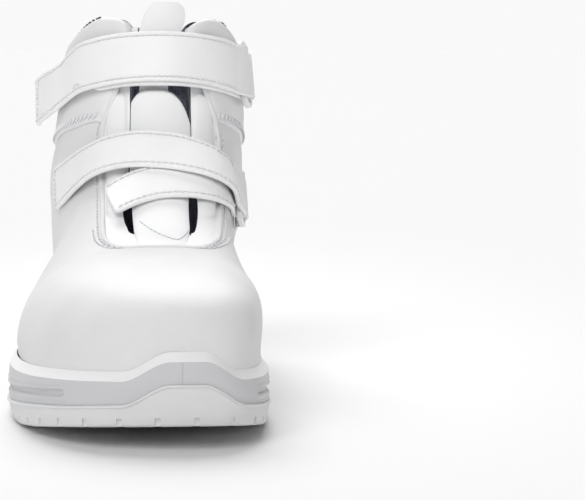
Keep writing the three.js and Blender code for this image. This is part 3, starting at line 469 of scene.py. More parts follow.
def gridOf(rows, columns, pointAt, wrapRows=False, wrapColumns=False, cap=False, kindAt=None):
    bm = bmesh.new()
    bmesh.ops.create_grid(bm, x_segments=columns, y_segments=rows, size=1)
    for face in bm.faces if kindAt else ():
        middle = face.calc_center_median()
        face.material_index = kindAt(int((middle.y + 1) / 2 * rows), int((middle.x + 1) / 2 * columns))
    for v in bm.verts:
        i, j = round((v.co.y + 1) / 2 * rows), round((v.co.x + 1) / 2 * columns)
        v.co = pointAt(i % rows if wrapRows else i, j % columns if wrapColumns else j)
    bmesh.ops.remove_doubles(bm, verts=bm.verts, dist=2e-3)
    if cap:
        bmesh.ops.holes_fill(bm, edges=[e for e in bm.edges if e.is_boundary], sides=0)
    bmesh.ops.recalc_face_normals(bm, faces=bm.faces)
    return bm


def trim(bm, gapAt):
    # cuts along the line where the gap is nought and keeps the side where it is positive
    gap = {v: gapAt(v.co) for v in bm.verts}
    for edge in list(bm.edges):
        a, b = edge.verts
        if gap[a] * gap[b] >= 0:
            continue
        share = gap[a] / (gap[a] - gap[b])
        if 0.12 < share < 0.88:
            _, made = bmesh.utils.edge_split(edge, a, share)
            gap[made] = 0.0
        else:
            near, far = (a, b) if share <= 0.12 else (b, a)
            near.co = near.co.lerp(far.co, min(share, 1 - share))
            gap[near] = 0.0
    for face in list(bm.faces):
        onLine = [v for v in face.verts if gap[v] == 0]
        if len(onLine) == 2 and min(gap[v] for v in face.verts) < 0 < max(gap[v] for v in face.verts):
            bmesh.utils.face_split(face, onLine[0], onLine[1])
    bmesh.ops.delete(bm, geom=[v for v in bm.verts if gap[v] < 0], context="VERTS")
    loose = [f for f in bm.faces if all(gap[v] == 0 for v in f.verts if v in gap)]
    bmesh.ops.delete(bm, geom=loose, context="FACES")


def toLinear(hexColor):
    channels = [int(hexColor[i : i + 2], 16) / 255 for i in (1, 3, 5)]
    return [c / 12.92 if c <= 0.04045 else ((c + 0.055) / 1.055) ** 2.4 for c in channels] + [1.0]


def addNode(tree, kind, settings=None, **links):
    node = tree.nodes.new(kind)
    for key, value in (settings or {}).items():
        if isinstance(key, int) or key in node.inputs:
            node.inputs[key].default_value = value
        else:
            setattr(node, key, value)
    for key, source in links.items():
        name = key.replace("_", " ")
        socket = node.inputs[name] if name in node.inputs else node.inputs[int(key[1:])]
        tree.links.new(source, socket)
    return node


def newMaterial(name, color, roughness, **shader):
    material = bpy.data.materials.new(name)
    material.use_nodes = True
    tree = material.node_tree
    surfaceNode = tree.nodes["Principled BSDF"]
    surfaceNode.inputs["Base Color"].default_value = toLinear(color)
    surfaceNode.inputs["Roughness"].default_value = roughness
    for key, value in shader.items():
        surfaceNode.inputs[key.replace("_", " ")].default_value = value
    material.diffuse_color = toLinear(color)
    return material, tree, surfaceNode


def newPiece(name, bm, materials, nodes=()):
    bmesh.ops.scale(bm, vec=(0.001, 0.001, 0.001), verts=bm.verts)
    for face in bm.faces:
        face.smooth = True
    mesh = bpy.data.meshes.new(name)
    bm.to_mesh(mesh)
    bm.free()
    piece = bpy.data.objects.new(name, mesh)
    bpy.context.scene.collection.objects.link(piece)
    for material in materials:
        mesh.materials.append(material)
    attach(piece, "root")
    if nodes:
        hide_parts(*nodes)
    return piece


def addModifier(piece, kind, **settings):
    modifier = piece.modifiers.new(kind.title(), kind)
    for key, value in settings.items():
        setattr(modifier, key, value)
    return modifier


# Materials
def leatherMaterial(name, color, roughness, grain, bump, coat=0.05, stretch=(1, 1, 1)):
    material, tree, shader = newMaterial(name, color, roughness, Coat_Weight=coat, Coat_Roughness=0.35)
    place3d = addNode(tree, "ShaderNodeTexCoord")
    mapped = addNode(tree, "ShaderNodeMapping", {"Scale": stretch}, Vector=place3d.outputs["Object"])
    cells = addNode(
        tree, "ShaderNodeTexVoronoi",
        {"feature": "DISTANCE_TO_EDGE", "Scale": 1000 / grain, "Randomness": 1.0},
        Vector=mapped.outputs["Vector"],
    )
    creased = addNode(
        tree, "ShaderNodeMapRange", {"From Min": 0.0, "From Max": 0.18}, Value=cells.outputs["Distance"]
    )
    soft = addNode(
        tree, "ShaderNodeTexNoise", {"Scale": 1000 / (grain * 3), "Detail": 4.0, "Roughness": 0.6},
        Vector=mapped.outputs["Vector"],
    )
    both = addNode(
        tree, "ShaderNodeMath", {"operation": "MULTIPLY_ADD", 1: 0.5},
        i0=creased.outputs["Result"], i2=soft.outputs["Fac"],
    )
    relief = addNode(
        tree, "ShaderNodeBump", {"Strength": bump, "Distance": 0.0001}, Height=both.outputs["Value"]
    )
    cloud = addNode(
        tree, "ShaderNodeTexNoise", {"Scale": 1000 / 24, "Detail": 3.0}, Vector=place3d.outputs["Object"]
    )
    tone = addNode(
        tree, "ShaderNodeMapRange", {"From Min": 0.3, "From Max": 0.7, "To Min": 0.0, "To Max": 1.0},
        Value=cloud.outputs["Fac"],
    )
    base = toLinear(color)
    shade = [c * 0.965 for c in base[:3]] + [1.0]
    mixed = addNode(
        tree, "ShaderNodeMix", {"data_type": "RGBA", 6: shade, 7: base}, i0=tone.outputs["Result"]
    )
    tree.links.new(mixed.outputs[2], shader.inputs["Base Color"])
    wear = addNode(
        tree, "ShaderNodeMapRange",
        {"From Min": 0.2, "From Max": 0.8, "To Min": roughness - 0.05, "To Max": roughness + 0.06},
        Value=soft.outputs["Fac"],
    )
    tree.links.new(wear.outputs["Result"], shader.inputs["Roughness"])
    tree.links.new(relief.outputs["Normal"], shader.inputs["Normal"])
    return material


# Microfibre leather, coated and lightly embossed: bright, even, with a fine soft grain
upperLeather = leatherMaterial("coatedMicrofibre", "#E6E6E7", 0.58, 0.9, 0.65)
# The same skin over foam, a little softer and duller
paddedLeather = leatherMaterial("softMicrofibre", "#E9E9EA", 0.52, 0.8, 0.3)
# The same skin painted whitest, as painted light on the facing and the tongue between the straps
facingLeatherLit = leatherMaterial("facingMicrofibrePaintedLight", "#F6F6F7", 0.52, 0.8, 0.3)
# Strap skin: its grain is drawn out along the strap; painted paler than the vamp's skin, as painted light on
# the front-facing straps
strapLeatherLit = leatherMaterial("strapMicrofibrePaintedLight", "#F8F8F8", 0.45, 1.0, 0.4, stretch=(0.4, 0.8, 1.6))


def mouldedMaterial(name, color, roughness, grit, bump):
    material, tree, shader = newMaterial(name, color, roughness)
    place3d = addNode(tree, "ShaderNodeTexCoord")
    fine = addNode(
        tree, "ShaderNodeTexNoise", {"Scale": 1000 / grit, "Detail": 5.0, "Roughness": 0.65},
        Vector=place3d.outputs["Object"],
    )
    relief = addNode(
        tree, "ShaderNodeBump", {"Strength": bump, "Distance": 0.0001}, Height=fine.outputs["Fac"]
    )
    tree.links.new(relief.outputs["Normal"], shader.inputs["Normal"])
    wear = addNode(
        tree, "ShaderNodeMapRange",
        {"From Min": 0.3, "From Max": 0.7, "To Min": roughness - 0.05, "To Max": roughness + 0.05},
        Value=fine.outputs["Fac"],
    )
    tree.links.new(wear.outputs["Result"], shader.inputs["Roughness"])
    return material


# Foamed polyurethane, moulded in a sand-blasted tool: satin; the side wall is painted greyer than the rim of
# the same foam, as painted shade under the lip
midsoleFoamShaded = mouldedMaterial("mouldedPolyurethaneShaded", "#CFCFD1", 0.5, 0.7, 0.3)
# The same foam with a painted highlight: painted paler on the rim, a bright line round the upper
rimFoamPaintedHighlight = mouldedMaterial("rimPolyurethanePaintedHighlight", "#F6F6F7", 0.45, 0.7, 0.25)
# Dense tread rubber: flatter and a touch darker
treadRubber = mouldedMaterial("treadRubber", "#E2E2E3", 0.55, 0.5, 0.35)
# Injection-moulded acetal loops: smooth with a clear highlight
ringPlastic = mouldedMaterial("mouldedAcetal", "#EFEFF0", 0.3, 1.2, 0.08)


def knitMaterial(name, color, dark, hole, bump):
    material, tree, shader = newMaterial(name, color, 0.9, Sheen_Weight=0.3, Sheen_Roughness=0.5)
    place3d = addNode(tree, "ShaderNodeTexCoord")
    cells = addNode(
        tree, "ShaderNodeTexVoronoi", {"Scale": 1000 / hole, "Randomness": 0.25},
        Vector=place3d.outputs["Object"],
    )
    mask = addNode(
        tree, "ShaderNodeMapRange", {"From Min": 0.15, "From Max": 0.45}, Value=cells.outputs["Distance"]
    )
    mixed = addNode(
        tree, "ShaderNodeMix", {"data_type": "RGBA", 6: toLinear(dark), 7: toLinear(color)},
        i0=mask.outputs["Result"],
    )
    tree.links.new(mixed.outputs[2], shader.inputs["Base Color"])
    relief = addNode(
        tree, "ShaderNodeBump", {"Strength": bump, "Distance": 0.0003}, Height=mask.outputs["Result"]
    )
    tree.links.new(relief.outputs["Normal"], shader.inputs["Normal"])
    return material


# Warp-knitted spacer mesh: dark, matt, with small round holes; also painted on the tongue's face beside the
# pad's arch as painted shade
liningAndPaintedShade = knitMaterial("knittedLiningAndPaintedShade", "#4A4D5A", "#23252E", 1.6, 0.6)
# Woven insole cover, finer and paler
insoleCover = knitMaterial("wovenInsole", "#C4C7CF", "#8E929E", 1.1, 0.4)
# Bonded thread, satin: reads as small pale beads along the seams
sewingThread = mouldedMaterial("bondedNylonThread", "#E6E6E8", 0.6, 0.3, 0.4)
# Painted shade in the dent that the needle leaves: a grey dot between two stitches, darker than the leather
# round it
paintedHoleShade = mouldedMaterial("paintedHoleShade", "#C2C2C6", 0.8, 0.3, 0.2)

print("materials made")


# Upper
shell = {
    "steps": 10,
    "columns": 180,
    "wall": 1.7,
    "edge": 0.35,
    "underCollar": 5,
    "folded": (0.5, lastSection - 0.2),  # sections that the folds may reach
}
throatEdge = gapFrom(throatCorners(0))
farGap = 50.0


def throatGap(point):
    across, up, out = onSlope(point)
    farAcross, farUp, farOut = throat["near"]
    if out < farOut or abs(across) > farAcross or up < farUp:
        return farGap
    return max(throatEdge(across, up), throat["depth"] - throat["reach"] - out)


def alongOf(point):
    return boot["heelPad"] - point.y


# Soft folds of the skin, a trough where the height is negative: start, end, half width, height.
# A place is around, at.
folds = [
    ((62, 10.5), (96, 9.6), 3.5, -1.0), ((64, 11.3), (98, 10.6), 4, 1.0), ((74, 8.6), (104, 8.2), 5, -0.7),
    ((-72, 11.2), (-104, 10.2), 4, -0.8), ((-60, 8.9), (-96, 8.4), 5, -0.8),
    ((-64, 9.5), (-100, 9.3), 4, 0.5), ((-44, 6.9), (-12, 7.1), 4, -0.35), ((14, 7.1), (48, 6.8), 4, -0.4),
    ((-30, 6.2), (26, 6.1), 6, 0.3), ((150, 11.2), (178, 10.8), 4, -0.6),
    ((-150, 11.3), (-178, 10.9), 4, -0.6), ((120, 9.9), (146, 9.4), 4, -0.5),
    ((-122, 10.2), (-150, 9.6), 4, -0.5), ((-20, 3.6), (10, 3.2), 9, -0.25),
    ((-52, 4.6), (-30, 3.4), 8, 0.25), ((36, 4.4), (60, 3.5), 8, -0.3),
]


perDegree, perSection = 0.75, 11  # millimetres, about
foldReach = 2.4  # half widths


def foldHeight(at, around):
    total = 0.0
    for (a, b), (c, d), wide, height in folds:
        px, py = around * perDegree - a * perDegree, at * perSection - b * perSection
        dx, dy = (c - a) * perDegree, (d - b) * perSection
        share = clamp((px * dx + py * dy) / (dx * dx + dy * dy), 0.0, 1.0)
        away = math.hypot(px - share * dx, py - share * dy) / wide
        if away < foldReach:
            total += height * math.exp(-away * away)
    return total


def makeUpper():
    rows = lastSection * shell["steps"]

    def pointAt(i, j):
        at, around = i / shell["steps"], -180 + 360 * j / shell["columns"]
        lift = foldHeight(at, around) if shell["folded"][0] < at < shell["folded"][1] else 0
        return offSurface(at, around, lift) if abs(lift) > 0.01 else surface(at, around)

    bm = gridOf(rows, shell["columns"], pointAt, wrapColumns=True)
    trim(bm, lambda p: p.z - seatHeight(alongOf(p)) - boot["clearance"])
    trim(bm, lambda p: collarSeam(alongOf(p)) + shell["underCollar"] - p.z)
    trim(bm, throatGap)
    bmesh.ops.recalc_face_normals(bm, faces=bm.faces)
    return bm


upperMesh = makeUpper()
upperTree = BVHTree.FromBMesh(upperMesh)
upperPiece = newPiece("vampAndQuarters", upperMesh, [upperLeather, liningAndPaintedShade], ["upper"])
addModifier(
    upperPiece, "SOLIDIFY", thickness=shell["wall"] / 1000, offset=-1, use_even_offset=True,
    material_offset=1, material_offset_rim=0,
)
addModifier(
    upperPiece, "BEVEL", width=shell["edge"] / 1000, segments=2, limit_method="ANGLE",
    angle_limit=math.radians(55),
)
print("upper made")

# Collar
collar = {
    "columns": 150,
    "edge": 1.3,
    "puff": 1.5,
    "topRoll": 1.3,  # extra swell near the top, with a trough of the same depth below it
    "rollAt": 0.9,
    "troughAt": 0.77,
    "rollWide": 0.05,
    "inner": 6.4,
    "round": 3.6,
    "tall": 40,
    "innerDepth": -0.15,
    "core": -2.4,
    "throat": (2, 100),  # degrees between which its front ends are looked for
    "fill": 0.7,
}
# height share, depth: the folded edge under the stitches
collarHem = [
    (0.02, -0.6), (0.0, -0.3), (0.0, 0.8), (0.012, 1.2), (0.03, 1.35), (0.05, 1.3), (0.065, 1.2), (0.08, 1.3),
]


def collarShare(point):
    seam, top = collarSeam(alongOf(point)), collarTop(alongOf(point))
    return (point.z - seam) / max(top - seam, 1)


def collarAt(share, around):
    return solve(10, lastSection, lambda at: collarShare(surface(at, around)) < share, 20)


# The collar's cross-section as [height share, depth, is lining], from its stitched edge over the top
def collarProfile():
    rows = [(share, depth, 0) for share, depth in collarHem]
    hemTop = collarHem[-1][0]
    shoulder = 1 - collar["round"] / collar["tall"]
    for k in range(1, 25):
        share = lerp(hemTop, shoulder, k / 24)
        swell = collar["puff"] * math.sin(math.pi * min((share - hemTop) / 1.02, 1)) ** 0.6
        for middle, sign in ((collar["rollAt"], 1), (collar["troughAt"], -1)):
            swell += sign * collar["topRoll"] * math.exp(-(((share - middle) / collar["rollWide"]) ** 2))
        rows.append((share, collar["edge"] + swell, 0))
    outer = rows[-1][1]
    middle, reach = (outer - collar["inner"]) / 2, (outer + collar["inner"]) / 2
    for k in range(1, 12):
        angle = math.pi * k / 11
        rows.append(
            (shoulder + (1 - shoulder) * math.sin(angle), middle + reach * math.cos(angle), 1 if k > 2 else 0)
        )
    for k in range(1, 9):
        share = lerp(shoulder, collar["innerDepth"], k / 8)
        depth = lerp(collar["inner"], boot["wall"] + 0.2, smooth(share, 0.35, -0.12))
        rows.append((share, -depth - 0.8 * math.sin(math.pi * clamp(share)), 1))
    return rows


def makeCollar():
    profile = collarProfile()
    edges = {}

    def edgeAround(share, side):
        key = (round(clamp(share, 0.0, 1.0), 2), side)
        if key not in edges:
            def outside(around):
                p = surface(collarAt(key[0], around), around)
                across, up, _ = onSlope(p)
                return throatEdge(across, up) > 0

            first, last = collar["throat"]
            if side < 0:
                edges[key] = solve(-last, -first, outside, 18)
            else:
                edges[key] = solve(first, last, lambda around: not outside(around), 18)
        return edges[key]

    def pointAt(i, j):
        share, depth, _ = profile[i]
        first, last = edgeAround(share, -1), edgeAround(share, 1)
        around = lerp(first, last - 360, j / collar["columns"])
        rounding = min(j, collar["columns"] - j)
        if around < -180:
            around += 360
        at = collarAt(share, around)
        ends = 1 - 0.35 * (1 - clamp(rounding / 2)) ** 2
        return offSurface(at, around, collar["core"] + (depth - collar["core"]) * ends)

    return gridOf(
        len(profile), collar["columns"], pointAt, wrapRows=True, cap=True, kindAt=lambda i, j: profile[i][2]
    )


collarMesh = makeCollar()
collarTree = BVHTree.FromBMesh(collarMesh)
newPiece("paddedCollar", collarMesh, [paddedLeather, liningAndPaintedShade], ["upper"])
print("collar made")


# Throat lining with the two rolls
frontTurns = range(-90, 91, 2)


@lru_cache(maxsize=None)
def acrossTable(at):
    return [surface(at, turn).x for turn in frontTurns]


def aroundOf(at, x):
    xs, turns = acrossTable(at), frontTurns
    i = clamp(bisect_right(xs, x), 1, len(xs) - 1)
    return lerp(turns[i - 1], turns[i], clamp((x - xs[i - 1]) / max(xs[i] - xs[i - 1], 1e-6)))


def riseOf(share):
    up = share * boot["height"]
    along = boot["rimWidth"] + form[0](sectionOfHeight(up))
    return up * slopeSin - along * slopeCos


def makeFacing():
    parts = facing["parts"]
    edge = tongue["half"] + facing["slotGap"]
    radius = facing["rollWidth"] / 2
    low, high = riseOf(facing["rollLow"]) + radius, riseOf(facing["rollHigh"]) - radius
    heights = [lerp(facing["low"], facing["top"], i / parts) for i in range(parts + 1)]
    # The vamp is too flat below 0.42 for a section to be found by its height
    ats = [7 + (h - 0.418) * 20 if h < 0.42 else sectionOfHeight(h * boot["height"]) for h in heights]

    def swell(point):
        across, up, _ = onSlope(point)
        away = math.hypot(abs(across) - edge - radius, up - clamp(up, low, high)) / radius
        return facing["roll"] * math.sqrt(1 - away * away) if away < 1 else 0

    def pointAt(i, j):
        x = throat["middle"] + lerp(-facing["reach"], facing["reach"], j / parts)
        around = aroundOf(ats[i], x)
        point, out, _, _ = frameOn(ats[i], around)
        return point + out * (swell(point) - facing["recess"])

    bm = gridOf(parts, parts, pointAt)
    outer, window = gapFrom(throatCorners(-facing["tuck"])), gapFrom(windowCorners())
    trim(bm, lambda p: -outer(*onSlope(p)[:2]))
    trim(bm, lambda p: window(*onSlope(p)[:2]))
    bmesh.ops.recalc_face_normals(bm, faces=bm.faces)
    return bm


facingMesh = makeFacing()
facingTree = BVHTree.FromBMesh(facingMesh)
# the facing's paler skin is painted light
facingPiece = newPiece(
    "throatFacing", facingMesh, [facingLeatherLit, liningAndPaintedShade], ["throat_facing"]
)
addModifier(
    facingPiece, "SOLIDIFY", thickness=facing["thickness"] / 1000, offset=-1, material_offset=1,
    material_offset_rim=1,
)
print("throat facing made")


def makeTongue():
    parts, turns = 14, 60
    rows = (len(tongue["rows"]) - 1) * parts

    def shareAt(j):
        share = math.cos(2 * math.pi * j / turns)
        return math.copysign(abs(share) ** 0.8, share)

    def abovePad(height, share):
        fall = tongue["archSides"][share > 0] * abs(share - tongue["archMiddle"]) ** tongue["archPower"]
        arch = tongue["archTop"] - fall
        return smooth(height, arch, arch + tongue["archBlend"]) * (1 - smooth(height, *tongue["above"]))

    def between(up, ends):
        return smooth(up, ends[0] * boot["height"], ends[1] * boot["height"])

    ats = [sectionOfHeight(tongueUp(i / parts)) for i in range(rows + 1)]

    def pointAt(i, j):
        station = i / parts
        angle = 2 * math.pi * j / turns
        share = shareAt(j)
        across = share * tongueHalf(station) + tongueLean(station)
        around = aroundOf(ats[i], throat["middle"] + across)
        up = tongueUp(station)
        drop = tongue["footDrop"] * (1 - between(up, tongue["foot"]))
        top = tongueSwell(station) * math.sqrt(max(1.02 - share * share, 0)) - tongue["sink"] - drop
        top -= tongue["archDrop"] * abovePad(up / boot["height"], share)
        thick = (tongue["thickness"] - tongue["under"]) * between(up, tongue["deep"])
        low = -tongue["under"] - drop - thick * (1 - 0.4 * share * share)
        lift = top if math.sin(angle) > 1e-6 else low if math.sin(angle) < -1e-6 else (top + low) / 2
        return offSurface(ats[i], around, lift)

    def kindAt(i, j):
        share = shareAt(j + 0.5)
        above = abovePad(tongueUp((i + 0.5) / parts) / boot["height"], share)
        left, right = tongue["paintedShadeOutside"]
        # the tongue's face beside the arch takes the dark lining: painted shade under the straps
        return 1 if above > 0.5 and j < turns / 2 and not left < share < right else 0

    return gridOf(rows, turns, pointAt, wrapColumns=True, cap=True, kindAt=kindAt)


tongueMesh = makeTongue()
tongueTree = BVHTree.FromBMesh(tongueMesh)
newPiece("paddedTongue", tongueMesh, [facingLeatherLit, liningAndPaintedShade], ["tongue"])
print("tongue made")


# Straps, rings and tabs
strap = {
    "corner": 4.0,  # radius of the free end's corners
    "stitchInset": 2.0,
    "groove": 0.16,
    "crown": 0.2,
    "perRow": 12,  # stations between two rows of the table
    "bare": 4,  # stations without stitches at a layer's start
    "endSteps": [0.02, 0.05, 0.1, 0.16, 0.24, 0.32],  # more of them, in rows, for the rounded end
    "endRow": {"top": 6.0, "low": 2.6},
    "tackFrom": 60,
    "tackSide": -0.36,
}


def stationOf(rows):
    count = range(len(rows))
    around = cubicThrough(list(count), [row[0] for row in rows])
    at = cubicThrough(list(count), [row[1] for row in rows])
    lift = cubicThrough(list(count), [row[2] for row in rows])
    return around, at, lift


def pairOff(at, around, move, lift, thickness):
    for _ in range(4):
        _, _, upward, onward = frameOn(at, around)
        a, b, c = upward.dot(upward), upward.dot(onward), onward.dot(onward)
        p, q = move.dot(upward) / 4, move.dot(onward) / 4
        at += (c * p - b * q) / (a * c - b * b) * frameStep
        around += (a * q - b * p) / (a * c - b * b) * frameTurn
    point, out, _, _ = frameOn(at, around)
    return point + out * lift, point + out * (lift + thickness)


sides = (-0.5, -0.25, 0, 0.25, 0.5)
foldTurns = range(-90, 91, 15)


# Near the strap's end its upper edge starts later by the slant, in rows, and stands off by the twist
def strapStation(rows, step, width, thickness, end=(0, 0)):
    around, at, lift = stationOf(rows)
    slant, twist = end
    pairs = []
    for side in sides:
        here = step + slant * (side + 0.5) * max(1 - step / 2, 0)
        before, after = max(here - 0.1, 0), min(here + 0.1, len(rows) - 1)
        along = surface(at(after), around(after)) - surface(at(before), around(before))
        across = frameOn(at(here), around(here))[1].cross(along).normalized()
        raised = lift(here) + twist * 2 * side * max(1 - step / 3, 0)
        pairs.append(pairOff(at(here), around(here), across * side * width, raised, thickness))
    return pairs


def ringFrame(spec):
    around, at = spec["ring"]
    point, out, _, _ = frameOn(at, around)
    last = spec["under"][-1]
    along = point - surface(last[1], last[0])
    along = (along - out * along.dot(out)).normalized()
    return {
        "point": point,
        "out": out,
        "along": along,
        "across": out.cross(along).normalized(),
        "lift": last[2] + strapThickness + boot["clearance"] + ringBar / 2,
    }


def foldStation(ring, bar, degrees, width, thickness):
    angle = math.radians(degrees)
    away = ring["along"] * math.cos(angle) + ring["out"] * math.sin(angle)
    near = ringBar / 2 + boot["clearance"]
    pairs = []
    for side in sides:
        middle = ring["point"] + ring["along"] * bar + ring["out"] * ring["lift"]
        middle += ring["across"] * side * width
        pairs.append((middle + away * near, middle + away * (near + thickness)))
    return pairs


# A strap's cross-section on one face: distance in from its edge, share of its thickness, extra height
bandEdge = [(0, 0.5, 0), (0.12, 0.8, 0), (0.45, 0.97, 0), (0.8, 1, 0), (1.3, 1, 0)]


def bandSection(width, groove, crown):
    inset = strap["stitchInset"]
    rows = bandEdge + [
        (inset, 1, -groove), (inset + 0.7, 1, 0), (inset + 1.8, 1, crown * 0.5), (width * 0.3, 1, crown),
        (width * 0.5, 1, crown),
    ]
    upper = [(-width / 2 + d, s, r) for d, s, r in rows] + [(width / 2 - d, s, r) for d, s, r in rows[-2::-1]]
    lower = [(x, 1 - s, -r) for x, s, r in reversed(upper[1:-1])]
    return upper + lower


def alongSides(values, share):
    # the curve through the values at the five sides
    total = Vector()
    for i, a in enumerate(sides):
        weight = 1.0
        for k, b in enumerate(sides):
            if k != i:
                weight *= (share - b) / (a - b)
        total += values[i] * weight
    return total


def band(stations, width, groove, crown, corner=0.0, cornerEnd=0.0):
    section = bandSection(width, groove, crown)
    middles = [(s[2][0] + s[2][1]) / 2 for s in stations]
    run = [0.0]
    for a, b in zip(middles, middles[1:]):
        run.append(run[-1] + (b - a).length)

    def narrow(distance, radius):
        if distance >= radius or radius == 0:
            return 0.0
        return radius - math.sqrt(max(radius * radius - (radius - distance) ** 2, 0))

    def pointAt(i, j):
        x, share, extra = section[j]
        cut = max(narrow(run[i], corner), narrow(run[-1] - run[i], cornerEnd))
        x *= 1 - 2 * cut / width
        low = alongSides([pair[0] for pair in stations[i]], x / width)
        high = alongSides([pair[1] for pair in stations[i]], x / width)
        ends = clamp(min(run[i], run[-1] - run[i]) / 0.5)
        share = 0.5 + (share - 0.5) * (0.35 + 0.65 * math.sqrt(ends))
        return low.lerp(high, share) + (high - low).normalized() * extra * ends

    return gridOf(len(stations) - 1, len(section), pointAt, wrapColumns=True, cap=True)


def makeStrap(spec):
    ring = ringFrame(spec)

    def run(rows, end):
        count = (len(rows) - 1) * strap["perRow"]
        steps = [(len(rows) - 1) * i / count for i in range(count + 1)]
        steps = sorted(set(steps + strap["endSteps"]))
        return [strapStation(rows, step, spec["width"], strapThickness, end) for step in steps]

    under = [[(b, a) for a, b in station] for station in run(spec["under"], spec["underEnd"])]
    over = run(spec["over"], spec["overEnd"])
    fold = [foldStation(ring, -ringPitch / 2, turn, spec["width"], strapThickness) for turn in foldTurns]
    stations = under + fold + over[::-1]
    bm = band(stations, spec["width"], strap["groove"], strap["crown"], strap["corner"], strap["corner"])
    return bm, under, over


def makeTab(spec):
    ring = ringFrame(spec)
    bar = ringPitch / 2
    floor = spec["under"][-1][2]
    tabWidth = spec["width"] * tabShare
    rise = ring["lift"] + ringBar / 2 + boot["clearance"] - floor
    around, at = spec["ring"]
    leg = []
    for k in range(17):
        share = lerp(1, 0.4, k / 16)
        up = 0.45 * smooth(share, 0.72, 0.4)
        station = []
        for side in sides:
            move = ring["along"] * (bar + tabLength * share) + ring["across"] * side * tabWidth
            station.append(pairOff(at, around, move, floor + rise * up, tabThickness))
        leg.append(station)
    fold = [foldStation(ring, bar, turn + 180, tabWidth, tabThickness) for turn in foldTurns]
    tail = foldStation(ring, bar + 2.2, 270, tabWidth, tabThickness)
    return band(leg + fold + [tail], tabWidth, 0.12, 0.05, 2.0)


def makeRing(spec):
    ring = ringFrame(spec)
    long, short = spec["width"] + 2 * (boot["clearance"] + ringPlay) + ringBar, ringPitch
    stations = []
    for u, v, start in ((1, 1, 0), (-1, 1, 90), (-1, -1, 180), (1, -1, 270)):
        for k in range(10):
            angle = math.radians(start + 10 * k)
            nx, ny = math.cos(angle), math.sin(angle)
            forward = u * (short / 2 - ringCorner) + nx * ringCorner
            stations.append((forward, v * (long / 2 - ringCorner) + ny * ringCorner, nx, ny))
    turns = 16

    def pointAt(i, j):
        forward, side, nx, ny = stations[i]
        angle = 2 * math.pi * j / turns
        c, s = math.cos(angle), math.sin(angle)
        reach = ringBar / 2 * math.copysign(abs(c) ** 0.6, c)
        height = ringBar / 2 * math.copysign(abs(s) ** 0.6, s)
        point = ring["point"] + ring["along"] * (forward + nx * reach)
        return point + ring["across"] * (side + ny * reach) + ring["out"] * (ring["lift"] + height)

    return gridOf(len(stations), turns, pointAt, wrapRows=True, wrapColumns=True)


strapStations, strapTrees = {}, {}
for spec in (topStrap, lowStrap):
    name = spec["name"]
    bm, under, over = makeStrap(spec)
    strapStations[name] = (under, over)
    strapTrees[name] = BVHTree.FromBMesh(bm)
    # the straps and tabs in the paler strap skin carry painted light
    newPiece(name + "Strap", bm, [strapLeatherLit], ["strap_" + name])
    newPiece(name + "Tab", makeTab(spec), [strapLeatherLit], ["tab_" + name])
    newPiece(name + "Ring", makeRing(spec), [ringPlastic], ["ring_" + name])
print("straps made")

# Sole
sole = {
    "columns": 620,
    "lip": 3.8,
    "slotDepth": 1.3,
    "slotWidth": 2.6,
    "slotRise": 5,
    "slotFrom": 0.45,
    "slotTo": 0.82,
    "slotLips": [(2.1, 0.3, 0.65), (3.9, 0.28, 0.7)],  # distance from the slot's middle, height, half width
    "seamMarks": (-0.9, -0.55, -0.3, 0, 0.3, 0.55, 0.9),
    "levels": 40,
    "paintedHighlightRows": 9,  # rows of the lip painted paler, as a painted highlight
    "ridge": 0.45,  # height of the mould's seam at toe and heel
    "beadSize": 1.1,
    "beadStep": 0.6,
    "edgeBevel": 2.4,
    "treadDepth": 3.6,
    "grooveWidth": 3,
    "lugPitch": 15,
    "lugReach": 15,
    "notch": (0.4, 4.4, 2.2, 3.4),  # outset, length, width, depth in the side wall
    "groove": 2.4,
}

# along, half, turn
treadBars = [
    (0.09, 0.28, 0), (0.16, 0.32, 0), (0.23, 0.32, 0), (0.46, 0.4, -8), (0.54, 0.46, -8), (0.62, 0.5, -8),
    (0.7, 0.5, -8), (0.8, 0.42, -8), (0.9, 0.3, -8),
]


def arcTable(steps=2400):
    lengths, at = [0.0], outlinePoint(0)
    for i in range(1, steps + 1):
        point = outlinePoint(i / steps % 1)
        lengths.append(lengths[-1] + (point - at).length)
        at = point
    return lengths


arc = arcTable()


def shareOfLength(length):
    i = clamp(bisect_left(arc, length), 1, len(arc) - 1)
    return (i - 1 + (length - arc[i - 1]) / (arc[i] - arc[i - 1])) / (len(arc) - 1)


def lengthOfShare(t):
    return linesThrough([i / (len(arc) - 1) for i in range(len(arc))], arc)(t)


